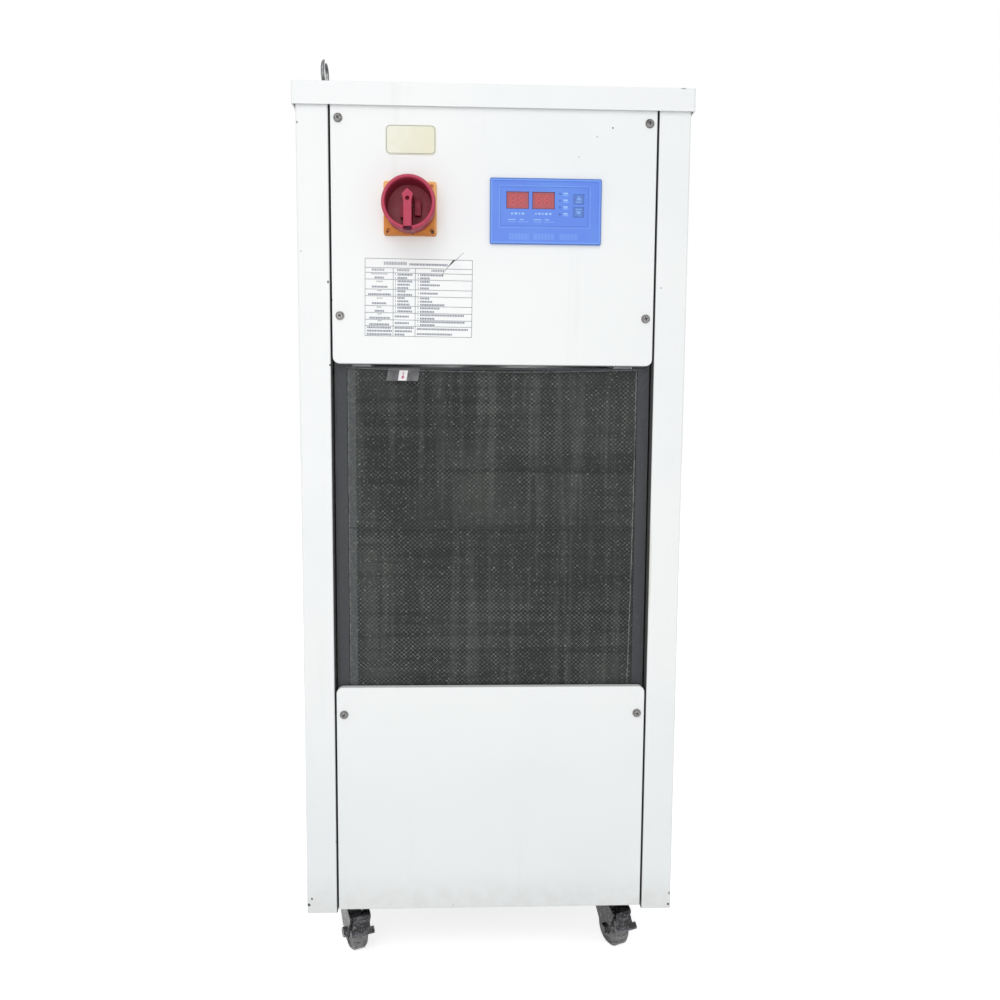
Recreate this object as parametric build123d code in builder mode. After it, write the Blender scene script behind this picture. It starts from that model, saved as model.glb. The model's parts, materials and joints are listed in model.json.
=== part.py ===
"""Recirculating water chiller: a floor-standing sheet-steel cabinet on four swivel casters.

Millimetres. +Z is up, +X is to the right seen from the front, and the front faces -Y. The origin is on the
floor under the middle of the cabinet. The lower bay holds the compressor, evaporator, tank and pump, the middle
bay is the air path from the filter through the condenser to the fan, and the upper bay holds the electrical parts.
"""

import os
from math import cos, radians, sin

from build123d import *

os.makedirs("parts", exist_ok=True)

# Driving dimensions of the cabinet
width = 480.0
depth = 560.0
caster_height = 78.0
body_height = 1021.0
cap_rise = 27.0
cap_over = 4.0
sheet = 1.5
panel_sheet = 1.2
bend_radius = 2.5

# Side panels and posts
post_width = 39.5
post_lip = 16.0
rear_return = 28.0
rear_lip = 12.0
panel_gap = 2.0

# Front panels and the air opening between them, as heights above the cabinet's underside
tray_depth = 20.0
panel_corner = 8.0
panel_edge = 1.0
lower_panel_lift = 4.5
opening_low = 303.0
opening_high = 714.0
panel_tuck = 12.0
hem_depth = 9.0

# Decks, uprights and pan
lower_deck_rise = 288.0
upper_deck_rise = 722.0
deck_flange = 15.0
upright_web_inset = 62.0
upright_depth = 48.0
pan_sheet = 2.0
pan_flange = 38.0
pan_front_gap = 0.5
pan_rear_inset = 16.0

# Panel screws
screw_radius = 2.5
screw_hole_radius = 2.6
screw_head_radius = 4.6
screw_head_height = 2.8
washer_radius = 5.5
washer_thickness = 0.8
screw_length = 24.0
screw_inset = 51.0
upper_screw_drop = 14.5
upper_screw_rise = 58.0
lower_screw_drop = 35.5

# Lifting eyes
eye_bore_radius = 12.5
eye_wire_radius = 2.4
eye_pitch_radius = 14.5
eye_height = 45.0
eye_collar_radius = 8.0
eye_collar_height = 13.0
eye_hole_clearance = 0.5
eye_shank_radius = 5.0
eye_shank_length = 17.0
eye_inset_x = 28.0
eye_inset_y = 55.0
eye_turn = 3.0

# Main switch
switch_x = -102.4
switch_rise = 900.4
plate_size = 64.0
plate_thickness = 6.0
plate_corner = 3.0
plate_screw_inset = 6.0
handle_reach = 42.0
handle_radius = 32.0
handle_back_radius = 30.4
handle_rim = 4.5
handle_floor = 3.5
handle_gap = 0.4
handle_draft = 1.0
handle_edge = 1.5
bar_shift = -1.0
bar_width = 9.4
bar_head_width = 13.0
bar_head_rise = 9.1
bar_head_taper = 7.0
bar_point_rise = 15.2
bar_tail = 27.8
notch_width = 10.6
notch_depth = 8.0
bar_hole_radius = 2.6
bar_hole_rise = 3.9
shaft_radius = 4.0
shaft_clearance = 0.05
lock_width = 7.4
lock_length = 17.6
lock_offset_x = 10.0
lock_offset_z = -2.4
lock_height = 12.0
lock_clearance = 0.35
rest_width = 4.2
rest_length = 16.0
rest_offset_x = -8.8
rest_offset_z = -6.0
rest_height = 12.0
switch_body_size = 46.0
switch_body_depth = 52.0

# Controller
controller_x = 62.7
controller_rise = 899.7
controller_width = 136.5
controller_height = 78.6
bezel_thickness = 2.4
bezel_rim = 3.0
bezel_rim_rise = 0.8
case_width = 128.0
case_height = 70.0
case_depth = 62.0
cutout_clearance = 0.5
window_width = 27.6
window_height = 20.4
window_columns = (-34.5, -2.8)
window_rise = 13.2
window_depth = 1.2
key_width = 13.0
key_height = 12.0
key_x = 40.5
key_rises = (15.3, -0.2)
key_clearance = 0.3
key_travel = 0.5
key_thickness = 1.2

# Air filter
filter_side_gap = 5.0
filter_bar = 12.5
filter_thickness = 8.0
filter_top_gap = 3.0
filter_top_bar = 3.0
filter_floor_gap = 0.5
filter_back_gap = 0.6
mesh_thickness = 1.0
cross_bar = 3.0
cross_bar_rise = 507.0
tab_left = -131.0
tab_width = 39.5
tab_drop = 16.0
tab_thickness = 0.6

# Condenser coil
coil_end_gap = 24.0
coil_depth = 40.0
coil_setback = 4.0
coil_clearance = 12.0
fin_pitch = 5.1
fin_gap = 2.4
fin_groove = 5.0
tube_radius = 4.8
tube_pitch = 33.0
tube_rows = 12
first_tube_rise = 18.0

# Condenser fan
fan_rise = 508.0
fan_radius = 168.0
fan_tip_gap = 4.0
fan_ring_sheet = 2.0
fan_ring_flange = 18.0
fan_ring_depth = 56.0
hub_radius = 62.0
hub_wall = 4.0
hub_depth = 44.0
hub_rear_gap = 6.0
blade_trim = 10.0
blade_count = 5
blade_root_chord = 74.0
blade_tip_chord = 112.0
blade_root_pitch = 42.0
blade_tip_pitch = 24.0
blade_thickness = 2.6
motor_radius = 54.0
motor_depth = 36.0
fan_shaft_radius = 6.0
running_clearance = 0.05
guard_reach = 14.0
guard_wire = 3.2
guard_over = 10.0
guard_ring_pitch = 20.0
guard_rings = 6
guard_centre_radius = 60.0
guard_spokes = 4

# Compressor
compressor_inset_x = 120.0
compressor_inset_y = 170.0
compressor_radius = 82.0
compressor_can = 176.0
compressor_dome = 34.0
compressor_seam = 3.0
compressor_seam_drop = 32.0
compressor_seam_height = 8.0
compressor_base_bevel = 14.0
discharge_offset = 35.0
terminal_width = 64.0
terminal_height = 72.0
terminal_depth = 48.0
terminal_rise = 96.0
terminal_sink = 20.0
terminal_corner = 6.0
foot_sheet = 3.0
foot_land = 2.0
foot_count = 3
foot_radius = 102.0
mount_height = 15.0
mount_radius = 14.0
suction_stub_rise = 104.0
stub_length = 10.0
pipe_radius = 5.0

# Evaporator, a brazed stack of plates
evaporator_inset_x = 60.0
evaporator_inset_y = 240.0
evaporator_width = 76.0
evaporator_depth = 46.0
evaporator_height = 206.0
evaporator_lift = 70.0
evaporator_port_inset = 20.0
evaporator_port_rise = 24.0
evaporator_corner = 5.0
evaporator_leg = 8.0
evaporator_leg_inset = 6.0
water_port_radius = 13.0
water_port_bore = 9.5

# Water tank
tank_side_gap = 35.0
tank_past_pump = 20.0
tank_depth = 140.0
tank_rear_gap = 40.0
tank_foot_inset = 30.0
tank_lift = 12.0
tank_height = 240.0
tank_sheet = 1.5
tank_corner = 12.0
filler_inset_x = 90.0
neck_radius = 22.0
neck_bore = 20.0
neck_length = 72.0
neck_tilt = 20.0
neck_sink = 4.0
neck_drop = 30.0
neck_hole_clearance = 2.0
filler_cap_radius = 29.0
filler_cap_height = 16.0
filler_cap_top = 4.0
filler_cap_clearance = 0.4
filler_cap_grips = 8
filler_cap_grip_radius = 2.5

# Pump
pump_offset_x = 70.0
pump_rise = 72.0
pump_inset_y = 195.0
volute_radius = 46.0
volute_depth = 40.0
volute_bevel = 6.0
pump_motor_radius = 52.0
pump_motor_length = 110.0
pump_motor_bevel = 7.0
pump_foot_width = 90.0
pump_foot_length = 70.0
pump_outlet_rise = 64.0
hose_rise = 44.0
hose_bend = 30.0
hose_radius = 13.0

# Ports at the rear
port_rise = 249.0
inlet_offset_x = 110.0
port_nut_radius = 20.0
port_nut_thickness = 8.0
port_hole_clearance = 0.5
drain_inset_x = 180.0
drain_rise = 34.0
drain_radius = 10.0
drain_ball_radius = 15.0
drain_bore = 7.0
drain_ball_gap = 4.0
lever_gap = 3.0
lever_length = 58.0
lever_width = 12.0
lever_thickness = 3.0
lever_stem_radius = 4.0
gland_inset_x = 90.0
gland_rise = 850.0
gland_radius = 10.0
gland_bore = 6.0
gland_nut_radius = 14.0
gland_nut = 5.0
gland_dome_start = 7.0
gland_length = 22.0
gland_tail = 10.0
gland_bevel = 2.0

# Rear panel
rear_panel_inset = 16.0
rear_panel_low = 6.0
rear_panel_drop = 4.0
rear_screw_inset = 22.0
rear_screw_rises = (50.0, 350.0, 690.0, 1000.0)
fan_hole_clearance = 2.0
slot_length = 70.0
slot_width = 5.0
slot_pitch = 14.0
slot_count = 8
slot_rise = 900.0
slot_x = 90.0

# Contactors on the upper deck
contactor_width = 45.0
contactor_depth = 80.0
contactor_height = 74.0
contactor_step_depth = 48.0
contactor_step_height = 44.4
contactor_x = (-60.0, 0.0)
contactor_y = 60.0

# Refrigerant pipes and filter drier
liquid_offset_x = 12.0
liquid_setback = 45.1
bend_share = 0.98
wide_bend = 24.0
tight_bend = 6.0
liquid_bend = 14.0
suction_setback = 36.0
suction_x = -6.0
suction_bend = 20.0
drier_top_rise = 258.0
drier_length = 120.0
drier_radius = 20.0
drier_neck = 8.0
drier_taper = 24.0
capillary_radius = 3.0
capillary_bend = 12.0

# Casters
caster_inset_x = 62.0
front_caster_inset_y = 66.5
rear_caster_inset_y = 58.0
front_caster_shift = -12.0
front_swivel = 24.0
rear_swivel = 205.0
wheel_radius = 25.0
wheel_width = 20.0
wheel_hub_proud = 1.7
wheel_dish = 2.0
tread_round = 3.0
caster_trail = 18.0
top_plate_size = 62.0
top_plate_sheet = 3.0
top_plate_corner = 6.0
race_radius = 20.0
race_height = 8.0
race_gap = 0.4
crown_radius = 22.0
crown_sheet = 2.8
hub_clearance = 0.5
fork_sheet = 2.5
brow_reach = 9.0
brow_drop = 6.0
axle_radius = 4.0
axle_boss = 9.0
axle_nut_radius = 6.5
axle_nut = 4.0
kingpin_radius = 4.0
kingpin_head_radius = 7.0
kingpin_head = 2.4
pedal_reach = 15.0
pedal_rise = 26.0
pedal_width = 32.0
pedal_pin_radius = 2.5
pedal_arm_width = 22.0

# Derived places
side_x = width / 2
front_y = -depth / 2
rear_y = depth / 2
port_reach = handle_reach
rear_screw_x = side_x - rear_screw_inset
rear_panel_half_width = side_x - rear_panel_inset
base_z = caster_height
shell_top = base_z + body_height
cap_top = shell_top + cap_rise
side_top = cap_top - sheet
lip_x = side_x - post_width
panel_half = lip_x - panel_gap
panel_back_y = front_y + tray_depth
filter_half_width = lip_x - filter_side_gap
filter_front_y = panel_back_y - filter_back_gap - filter_thickness
filter_back_y = filter_front_y + filter_thickness
coil_front_y = filter_back_y + coil_setback + sheet
coil_mid_y = coil_front_y + coil_depth / 2
opening_low_z = base_z + opening_low
opening_high_z = base_z + opening_high
lower_deck_z = base_z + lower_deck_rise
upper_deck_z = base_z + upper_deck_rise
web_x = side_x - upright_web_inset
coil_half_width = web_x - coil_end_gap
upright_rear_y = panel_back_y + upright_depth
pan_top = base_z + pan_sheet
screw_x = side_x - screw_inset
front_screws = (
    (-screw_x, shell_top - upper_screw_drop),
    (screw_x, shell_top - upper_screw_drop),
    (-screw_x, opening_high_z + upper_screw_rise),
    (screw_x, opening_high_z + upper_screw_rise),
    (-screw_x, opening_low_z - lower_screw_drop),
    (screw_x, opening_low_z - lower_screw_drop),
)
rear_screws = tuple((x, base_z + rise) for x in (-rear_screw_x, rear_screw_x) for rise in rear_screw_rises)
rear_skin_y = rear_y + panel_sheet
fan_hole_radius = fan_radius + fan_hole_clearance
guard_ring_radii = [fan_radius + guard_over - ring * guard_ring_pitch for ring in range(guard_rings)]
compressor_x = compressor_inset_x - side_x
compressor_y = front_y + compressor_inset_y
evaporator_x = side_x - evaporator_inset_x
evaporator_y = rear_y - evaporator_inset_y
pump_x = evaporator_x - pump_offset_x
pump_y = front_y + pump_inset_y
inlet_x = evaporator_x - inlet_offset_x
drain_x = drain_inset_x - side_x
filler_x = filler_inset_x - side_x
gland_x = gland_inset_x - side_x
tank_left = tank_side_gap - side_x
tank_right = pump_x + tank_past_pump
tank_rear = rear_y - tank_rear_gap
tank_front = tank_rear - tank_depth
caster_x = side_x - caster_inset_x
wheel_hub_width = wheel_width + 2 * wheel_hub_proud
fork_inner = wheel_hub_width + 2 * hub_clearance


def facing_front(y):
    """A sketch plane at depth y whose local axes are X and Z, with the extrusion going towards the front."""
    return Plane.XZ.offset(-y)


def facing_rear(y):
    """A sketch plane at depth y whose local axes are -X and Z, with the extrusion going towards the rear."""
    return Plane((0, y, 0), x_dir=(-1, 0, 0), z_dir=(0, 1, 0))


# Side panels: one folded sheet each, whose front return is the white post beside the front panels
with BuildPart() as left_side_panel:
    with BuildSketch(Plane.XY.offset(base_z)):
        with BuildLine():
            skin_line = FilletPolyline(
                (-lip_x, front_y + post_lip),
                (-lip_x, front_y),
                (-side_x, front_y),
                (-side_x, rear_y),
                (-side_x + rear_return, rear_y),
                (-side_x + rear_return, rear_y - rear_lip),
                radius=bend_radius,
            )
            offset(skin_line, amount=sheet, side=Side.RIGHT)
        make_face()
    extrude(amount=side_top - base_z)
    with BuildSketch(facing_rear(rear_y)):
        with Locations(*[(rear_screw_x, base_z + rise) for rise in rear_screw_rises]):
            Circle(screw_hole_radius)
    extrude(amount=2 * sheet, both=True, mode=Mode.SUBTRACT)

with BuildPart() as right_side_panel:
    mirror(left_side_panel.part, about=Plane.YZ)

# Top cap: a shallow folded tray that rests on the side panels' top edges
eye_places = ((-side_x + eye_inset_x, front_y + eye_inset_y), (side_x - eye_inset_x, rear_y - eye_inset_y))
with BuildPart() as top_cap:
    with BuildSketch(Plane.XY.offset(shell_top)):
        RectangleRounded(width + 2 * cap_over, depth + 2 * cap_over, bend_radius)
    extrude(amount=cap_rise)
    fillet(faces().sort_by(Axis.Z)[-1].edges(), panel_edge)
    offset(amount=-sheet, openings=faces().sort_by(Axis.Z)[0])
    with Locations(*[(x, y, cap_top) for x, y in eye_places]):
        Hole(eye_shank_radius + eye_hole_clearance)

# Upper front panel: a tray with the switch and controller cut-outs
upper_panel_top = shell_top + panel_tuck
switch_z = base_z + switch_rise
controller_z = base_z + controller_rise
with BuildPart() as upper_front_panel:
    with BuildSketch(facing_front(panel_back_y)):
        with Locations((0, (opening_high_z + upper_panel_top) / 2)):
            Rectangle(2 * panel_half, upper_panel_top - opening_high_z)
        fillet(vertices().group_by(Axis.Y)[0], panel_corner)
    extrude(amount=tray_depth)
    offset(amount=-panel_sheet, openings=faces().sort_by(Axis.Y)[-1])
    fillet(faces().sort_by(Axis.Y)[0].outer_wire().edges(), panel_edge)
    with BuildSketch(facing_front(front_y + panel_sheet)):
        with Locations((switch_x, switch_z)):
            Circle(shaft_radius + 2 * port_hole_clearance)
        with Locations((controller_x, controller_z)):
            Rectangle(case_width + 2 * cutout_clearance, case_height + 2 * cutout_clearance)
        with Locations(*front_screws[:4]):
            Circle(screw_hole_radius)
    extrude(amount=2 * panel_sheet, both=True, mode=Mode.SUBTRACT)

# Lower front panel: the same tray, with a short hem along its top so the filter can stand behind it
lower_panel_bottom = base_z + lower_panel_lift
hem_y = front_y + hem_depth
with BuildPart() as lower_front_panel:
    with BuildSketch(facing_front(panel_back_y)):
        with Locations((0, (lower_panel_bottom + opening_low_z) / 2)):
            Rectangle(2 * panel_half, opening_low_z - lower_panel_bottom)
        fillet(vertices().group_by(Axis.Y)[-1], panel_corner)
    extrude(amount=tray_depth)
    offset(amount=-panel_sheet, openings=faces().sort_by(Axis.Y)[-1])
    fillet(faces().sort_by(Axis.Y)[0].outer_wire().edges(), panel_edge)
    with BuildSketch(facing_front(front_y + panel_sheet)):
        with Locations(*front_screws[4:]):
            Circle(screw_hole_radius)
    extrude(amount=2 * panel_sheet, both=True, mode=Mode.SUBTRACT)
    with BuildSketch(Plane.XY.offset(opening_low_z)):
        with Locations((0, (hem_y + panel_back_y) / 2)):
            Rectangle(2 * side_x, panel_back_y - hem_y)
    extrude(amount=-(opening_low_z - lower_deck_z), mode=Mode.SUBTRACT)

# Rear panel: a flat plate over the side panels' rear returns
fan_z = base_z + fan_rise
port_z = base_z + port_rise
drain_z = base_z + drain_rise
gland_z = base_z + gland_rise
tank_base_z = pan_top + tank_lift
neck_plane = Plane(
    (filler_x, tank_rear - neck_sink, tank_base_z + tank_height - neck_drop),
    x_dir=(1, 0, 0),
    z_dir=(0, cos(radians(neck_tilt)), sin(radians(neck_tilt))),
)
with BuildPart() as rear_panel:
    with BuildSketch(facing_rear(rear_y)):
        with Locations((0, (base_z + rear_panel_low + shell_top - rear_panel_drop) / 2)):
            Rectangle(2 * rear_panel_half_width, body_height - rear_panel_low - rear_panel_drop)
            fillet(vertices(), panel_edge)
        with Locations((0, fan_z)):
            Circle(fan_hole_radius, mode=Mode.SUBTRACT)
        with Locations((-evaporator_x, port_z), (-inlet_x, port_z)):
            Circle(water_port_radius + port_hole_clearance, mode=Mode.SUBTRACT)
        with Locations((-drain_x, drain_z)):
            Circle(drain_radius + port_hole_clearance, mode=Mode.SUBTRACT)
        with Locations((-gland_x, gland_z)):
            Circle(gland_radius + port_hole_clearance, mode=Mode.SUBTRACT)
        with Locations(*rear_screws):
            Circle(screw_hole_radius, mode=Mode.SUBTRACT)
        slot_grid_z = base_z + slot_rise
        with Locations((-slot_x, slot_grid_z)):
            with GridLocations(1, slot_pitch, 1, slot_count):
                SlotOverall(slot_length, slot_width, mode=Mode.SUBTRACT)
    extrude(amount=panel_sheet)
    with BuildSketch(neck_plane):
        Circle(neck_radius + neck_hole_clearance)
    extrude(amount=2 * neck_length, mode=Mode.SUBTRACT)

# Front uprights: channels on the pan that carry the panels' screws and the condenser
with BuildPart() as left_upright:
    with BuildSketch(Plane.XY.offset(pan_top)):
        with BuildLine():
            channel_line = Polyline(
                (-lip_x + panel_edge, panel_back_y),
                (-web_x, panel_back_y),
                (-web_x, upright_rear_y),
                (-side_x + sheet, upright_rear_y),
            )
            offset(channel_line, amount=sheet, side=Side.LEFT)
        make_face()
    extrude(amount=side_top - pan_top)
    with BuildSketch(facing_front(panel_back_y)):
        with Locations(*[place for place in front_screws if place[0] < 0]):
            Circle(screw_hole_radius)
    extrude(amount=2 * sheet, both=True, mode=Mode.SUBTRACT)

with BuildPart() as right_upright:
    mirror(left_upright.part, about=Plane.YZ)

# Base pan: floor and upturned flanges, open at the front corners for the uprights
pan_front_y = panel_back_y + pan_front_gap
pan_rear_y = rear_y - pan_rear_inset
caster_places = {
    "front_left": (front_caster_shift - caster_x, front_y + front_caster_inset_y),
    "front_right": (front_caster_shift + caster_x, front_y + front_caster_inset_y),
    "rear_left": (-caster_x, rear_y - rear_caster_inset_y),
    "rear_right": (caster_x, rear_y - rear_caster_inset_y),
}
inner_x = side_x - sheet
with BuildPart() as base_pan:
    with BuildSketch(Plane.XY.offset(base_z)):
        Rectangle(2 * inner_x, pan_rear_y - pan_front_y)
    extrude(amount=pan_sheet)
    with BuildSketch(Plane.XY.offset(pan_top)):
        with Locations((0, pan_front_y + pan_sheet / 2)):
            Rectangle(2 * web_x - pan_sheet, pan_sheet)
        with Locations((0, pan_rear_y - pan_sheet / 2)):
            Rectangle(2 * inner_x, pan_sheet)
        with GridLocations(2 * inner_x - pan_sheet, 1, 2, 1):
            with Locations((0, (upright_rear_y + pan_rear_y) / 2)):
                Rectangle(pan_sheet, pan_rear_y - upright_rear_y)
    extrude(amount=pan_flange)
    with BuildSketch(facing_rear(pan_rear_y)):
        with Locations((-drain_x, drain_z)):
            Circle(drain_radius + port_hole_clearance)
    extrude(amount=2 * pan_sheet, both=True, mode=Mode.SUBTRACT)


def deck(name, deck_z, front, holes):
    """A sheet between the side walls with side flanges turned down, narrower where it passes the uprights."""
    with BuildPart() as plate:
        with BuildSketch(Plane.XY.offset(deck_z)):
            with Locations((0, (upright_rear_y + pan_rear_y) / 2)):
                Rectangle(2 * inner_x, pan_rear_y - upright_rear_y)
            with Locations((0, (front + upright_rear_y) / 2)):
                Rectangle(2 * web_x, upright_rear_y - front)
            for x, y, radius in holes:
                with Locations((x, y)):
                    Circle(radius, mode=Mode.SUBTRACT)
        extrude(amount=sheet)
        with BuildSketch(Plane.XY.offset(deck_z)):
            with GridLocations(2 * inner_x - sheet, 1, 2, 1):
                with Locations((0, (upright_rear_y + pan_rear_y) / 2)):
                    Rectangle(sheet, pan_rear_y - upright_rear_y)
        extrude(amount=-deck_flange)
    plate.part.label = name
    return plate


pipe_hole = pipe_radius + neck_hole_clearance
discharge_x = compressor_x + discharge_offset
liquid_x = coil_half_width + liquid_offset_x
liquid_y = coil_mid_y + liquid_setback
lower_deck = deck(
    "lower_deck",
    lower_deck_z,
    filter_front_y,
    [(discharge_x, compressor_y, pipe_hole), (liquid_x, liquid_y, pipe_hole)],
)
upper_deck = deck("upper_deck", upper_deck_z, panel_back_y + sheet, [(gland_x, contactor_y, water_port_radius)])

# Panel screws: pan heads with a washer face, six at the front and eight at the rear
with BuildPart() as screw_form:
    with BuildSketch(Plane.XZ):
        with BuildLine():
            Polyline(
                (0, -screw_length),
                (screw_radius, -screw_length),
                (screw_radius, 0),
                (washer_radius, 0),
                (washer_radius, washer_thickness),
                (screw_head_radius, washer_thickness),
                (screw_head_radius, washer_thickness + screw_head_height / 2),
                (screw_head_radius * 0.7, washer_thickness + screw_head_height),
                (0, washer_thickness + screw_head_height),
                close=True,
            )
        make_face()
    revolve(axis=Axis.Z)

front_screw_places = [Plane((x, front_y, z), z_dir=(0, -1, 0)).location for x, z in front_screws]
rear_screw_places = [Plane((x, rear_skin_y, z), z_dir=(0, 1, 0)).location for x, z in rear_screws]
with BuildPart() as panel_screws:
    with Locations(*front_screw_places, *rear_screw_places):
        add(screw_form.part)

# Lifting eyes: a forged ring on a collar and threaded shank
with BuildPart() as eye_form:
    with BuildSketch(Plane.XY):
        Circle(eye_collar_radius)
    extrude(amount=eye_collar_height, taper=12)
    with BuildSketch(Plane.XY):
        Circle(eye_shank_radius)
    extrude(amount=-eye_shank_length)
    with BuildSketch(Plane.XZ):
        with Locations((eye_pitch_radius, 0)):
            Circle(eye_wire_radius)
    ring_centre = Location((0, 0, eye_height - eye_pitch_radius - eye_wire_radius))
    add(
        revolve(axis=Axis.Z, mode=Mode.PRIVATE).moved(Location((0, 0, 0), (0, 90, 0))).moved(ring_centre)
    )
    with Locations(Plane(ring_centre.position, z_dir=(1, 0, 0)).location):
        Cylinder(eye_bore_radius, 4 * eye_wire_radius, mode=Mode.SUBTRACT)

eye_locations = [Location((x, y, cap_top), (0, 0, -eye_turn)) for x, y in eye_places]
with BuildPart() as lifting_eyes:
    with Locations(*eye_locations):
        add(eye_form.part)

# Main switch: plate on the panel, cup handle with its lever bar, padlock slide, shaft and contact block
plate_front_y = front_y - plate_thickness
handle_back_y = plate_front_y - handle_gap
handle_front_y = front_y - handle_reach
handle_depth = handle_back_y - handle_front_y
lock_x = switch_x + lock_offset_x
lock_z = switch_z + lock_offset_z
with BuildPart() as switch_plate:
    with BuildSketch(facing_front(front_y)):
        with Locations((switch_x, switch_z)):
            RectangleRounded(plate_size, plate_size, plate_corner)
            Circle(shaft_radius + 2 * port_hole_clearance, mode=Mode.SUBTRACT)
    extrude(amount=plate_thickness)
    fillet(faces().sort_by(Axis.Y)[0].outer_wire().edges(), panel_edge)
    with BuildSketch(facing_front(plate_front_y)):
        with Locations((switch_x, switch_z)):
            with GridLocations(plate_size - 2 * plate_screw_inset, plate_size - 2 * plate_screw_inset, 2, 2):
                Circle(screw_radius)
    extrude(amount=-plate_thickness / 2, mode=Mode.SUBTRACT)

handle_axis = Axis((switch_x, 0, switch_z), (0, -1, 0))
cup_inner_radius = handle_radius - handle_rim
with BuildPart() as switch_handle:
    with BuildSketch(Plane((switch_x, 0, switch_z), x_dir=(1, 0, 0), z_dir=(0, 0, 1))):
        with BuildLine():
            Polyline(
                (0, handle_back_y),
                (handle_back_radius - handle_edge, handle_back_y),
                (handle_back_radius, handle_back_y - handle_edge),
                (handle_radius, handle_front_y + 2 * handle_edge),
                (handle_radius - handle_edge, handle_front_y),
                (cup_inner_radius + handle_edge / 2, handle_front_y),
                (cup_inner_radius, handle_front_y + handle_edge),
                (cup_inner_radius - handle_draft, handle_back_y - handle_floor),
                (0, handle_back_y - handle_floor),
                close=True,
            )
        make_face()
    revolve(axis=handle_axis)
    bar_origin = (switch_x + bar_shift, handle_back_y - handle_floor, switch_z)
    with BuildSketch(Plane(bar_origin, x_dir=(1, 0, 0), z_dir=(0, -1, 0))):
        with BuildLine():
            Polyline(
                (-bar_width / 2, -bar_tail),
                (bar_width / 2, -bar_tail),
                (bar_width / 2, bar_head_rise - bar_head_taper),
                (bar_head_width / 2, bar_head_rise),
                (0, bar_point_rise),
                (-bar_head_width / 2, bar_head_rise),
                (-bar_width / 2, bar_head_rise - bar_head_taper),
                close=True,
            )
        make_face()
    extrude(amount=handle_depth - handle_floor)
    with BuildSketch(facing_front(handle_back_y - handle_floor)):
        with Locations((switch_x + rest_offset_x, switch_z + rest_offset_z)):
            Rectangle(rest_width, rest_length)
    extrude(amount=rest_height)
    with BuildSketch(facing_front(handle_front_y)):
        with Locations((switch_x + bar_shift, switch_z - bar_tail - handle_rim)):
            Rectangle(notch_width, 2 * handle_rim)
    extrude(amount=-notch_depth, mode=Mode.SUBTRACT)
    with BuildSketch(facing_front(handle_front_y)):
        with Locations((switch_x + bar_shift, switch_z + bar_hole_rise)):
            Circle(bar_hole_radius)
    extrude(amount=-handle_floor * 2, mode=Mode.SUBTRACT)
    with BuildSketch(facing_front(handle_back_y)):
        with Locations((lock_x, lock_z)):
            Rectangle(lock_width + 2 * lock_clearance, lock_length + 2 * lock_clearance)
    extrude(amount=handle_floor, mode=Mode.SUBTRACT)
    with BuildSketch(facing_front(handle_back_y)):
        with Locations((switch_x, switch_z)):
            Circle(shaft_radius)
    extrude(amount=handle_depth / 2, mode=Mode.SUBTRACT)

with BuildPart() as lock_slide:
    with BuildSketch(facing_front(handle_back_y - lock_clearance)):
        with Locations((lock_x, lock_z)):
            Rectangle(lock_width, lock_length)
            fillet(vertices(), panel_edge)
    extrude(amount=lock_height)
    fillet(faces().sort_by(Axis.Y)[0].edges(), panel_edge / 2)

with BuildPart() as switch_shaft:
    with BuildSketch(facing_front(front_y + panel_sheet + switch_body_depth / 2)):
        with Locations((switch_x, switch_z)):
            Circle(shaft_radius)
    extrude(amount=switch_body_depth / 2 + panel_sheet + plate_thickness + handle_gap + handle_depth / 2)

with BuildPart() as switch_body:
    with BuildSketch(facing_front(front_y + panel_sheet + switch_body_depth)):
        with Locations((switch_x, switch_z)):
            RectangleRounded(switch_body_size, switch_body_size, panel_edge * 3)
    extrude(amount=switch_body_depth)
    with BuildSketch(facing_front(front_y + panel_sheet)):
        with Locations((switch_x, switch_z)):
            Circle(shaft_radius + shaft_clearance)
    extrude(amount=-switch_body_depth / 2 - port_hole_clearance, mode=Mode.SUBTRACT)

# Controller: moulded case with a raised rim, two window pockets and two key pockets
bezel_y = front_y - bezel_thickness
key_places = [(controller_x + key_x, controller_z + rise) for rise in key_rises]
window_places = [(controller_x + column, controller_z + window_rise) for column in window_columns]
with BuildPart() as controller_case:
    with BuildSketch(facing_front(front_y)):
        with Locations((controller_x, controller_z)):
            RectangleRounded(controller_width, controller_height, panel_edge * 2)
    extrude(amount=bezel_thickness)
    with BuildSketch(facing_front(bezel_y)):
        with Locations((controller_x, controller_z)):
            RectangleRounded(controller_width, controller_height, panel_edge * 2)
            Rectangle(controller_width - 2 * bezel_rim, controller_height - 2 * bezel_rim, mode=Mode.SUBTRACT)
    extrude(amount=bezel_rim_rise)
    with BuildSketch(facing_front(front_y)):
        with Locations((controller_x, controller_z)):
            Rectangle(case_width, case_height)
    extrude(amount=-case_depth)
    with BuildSketch(facing_front(bezel_y)):
        with Locations(*window_places):
            Rectangle(window_width, window_height)
    extrude(amount=-window_depth, mode=Mode.SUBTRACT)
    with BuildSketch(facing_front(bezel_y)):
        with Locations(*key_places):
            Rectangle(key_width, key_height)
    extrude(amount=-(key_thickness + key_travel + key_clearance), mode=Mode.SUBTRACT)

with BuildPart() as display_windows:
    with BuildSketch(facing_front(bezel_y + window_depth)):
        with Locations(*window_places):
            Rectangle(window_width, window_height)
    extrude(amount=window_depth)

key_parts = {}
for key_name, key_place in zip(("upper_key", "lower_key"), key_places):
    with BuildPart() as key:
        with BuildSketch(facing_front(bezel_y + key_thickness)):
            with Locations(key_place):
                RectangleRounded(key_width - 2 * key_clearance, key_height - 2 * key_clearance, panel_edge)
        extrude(amount=key_thickness)
    key_parts[key_name] = key

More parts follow.
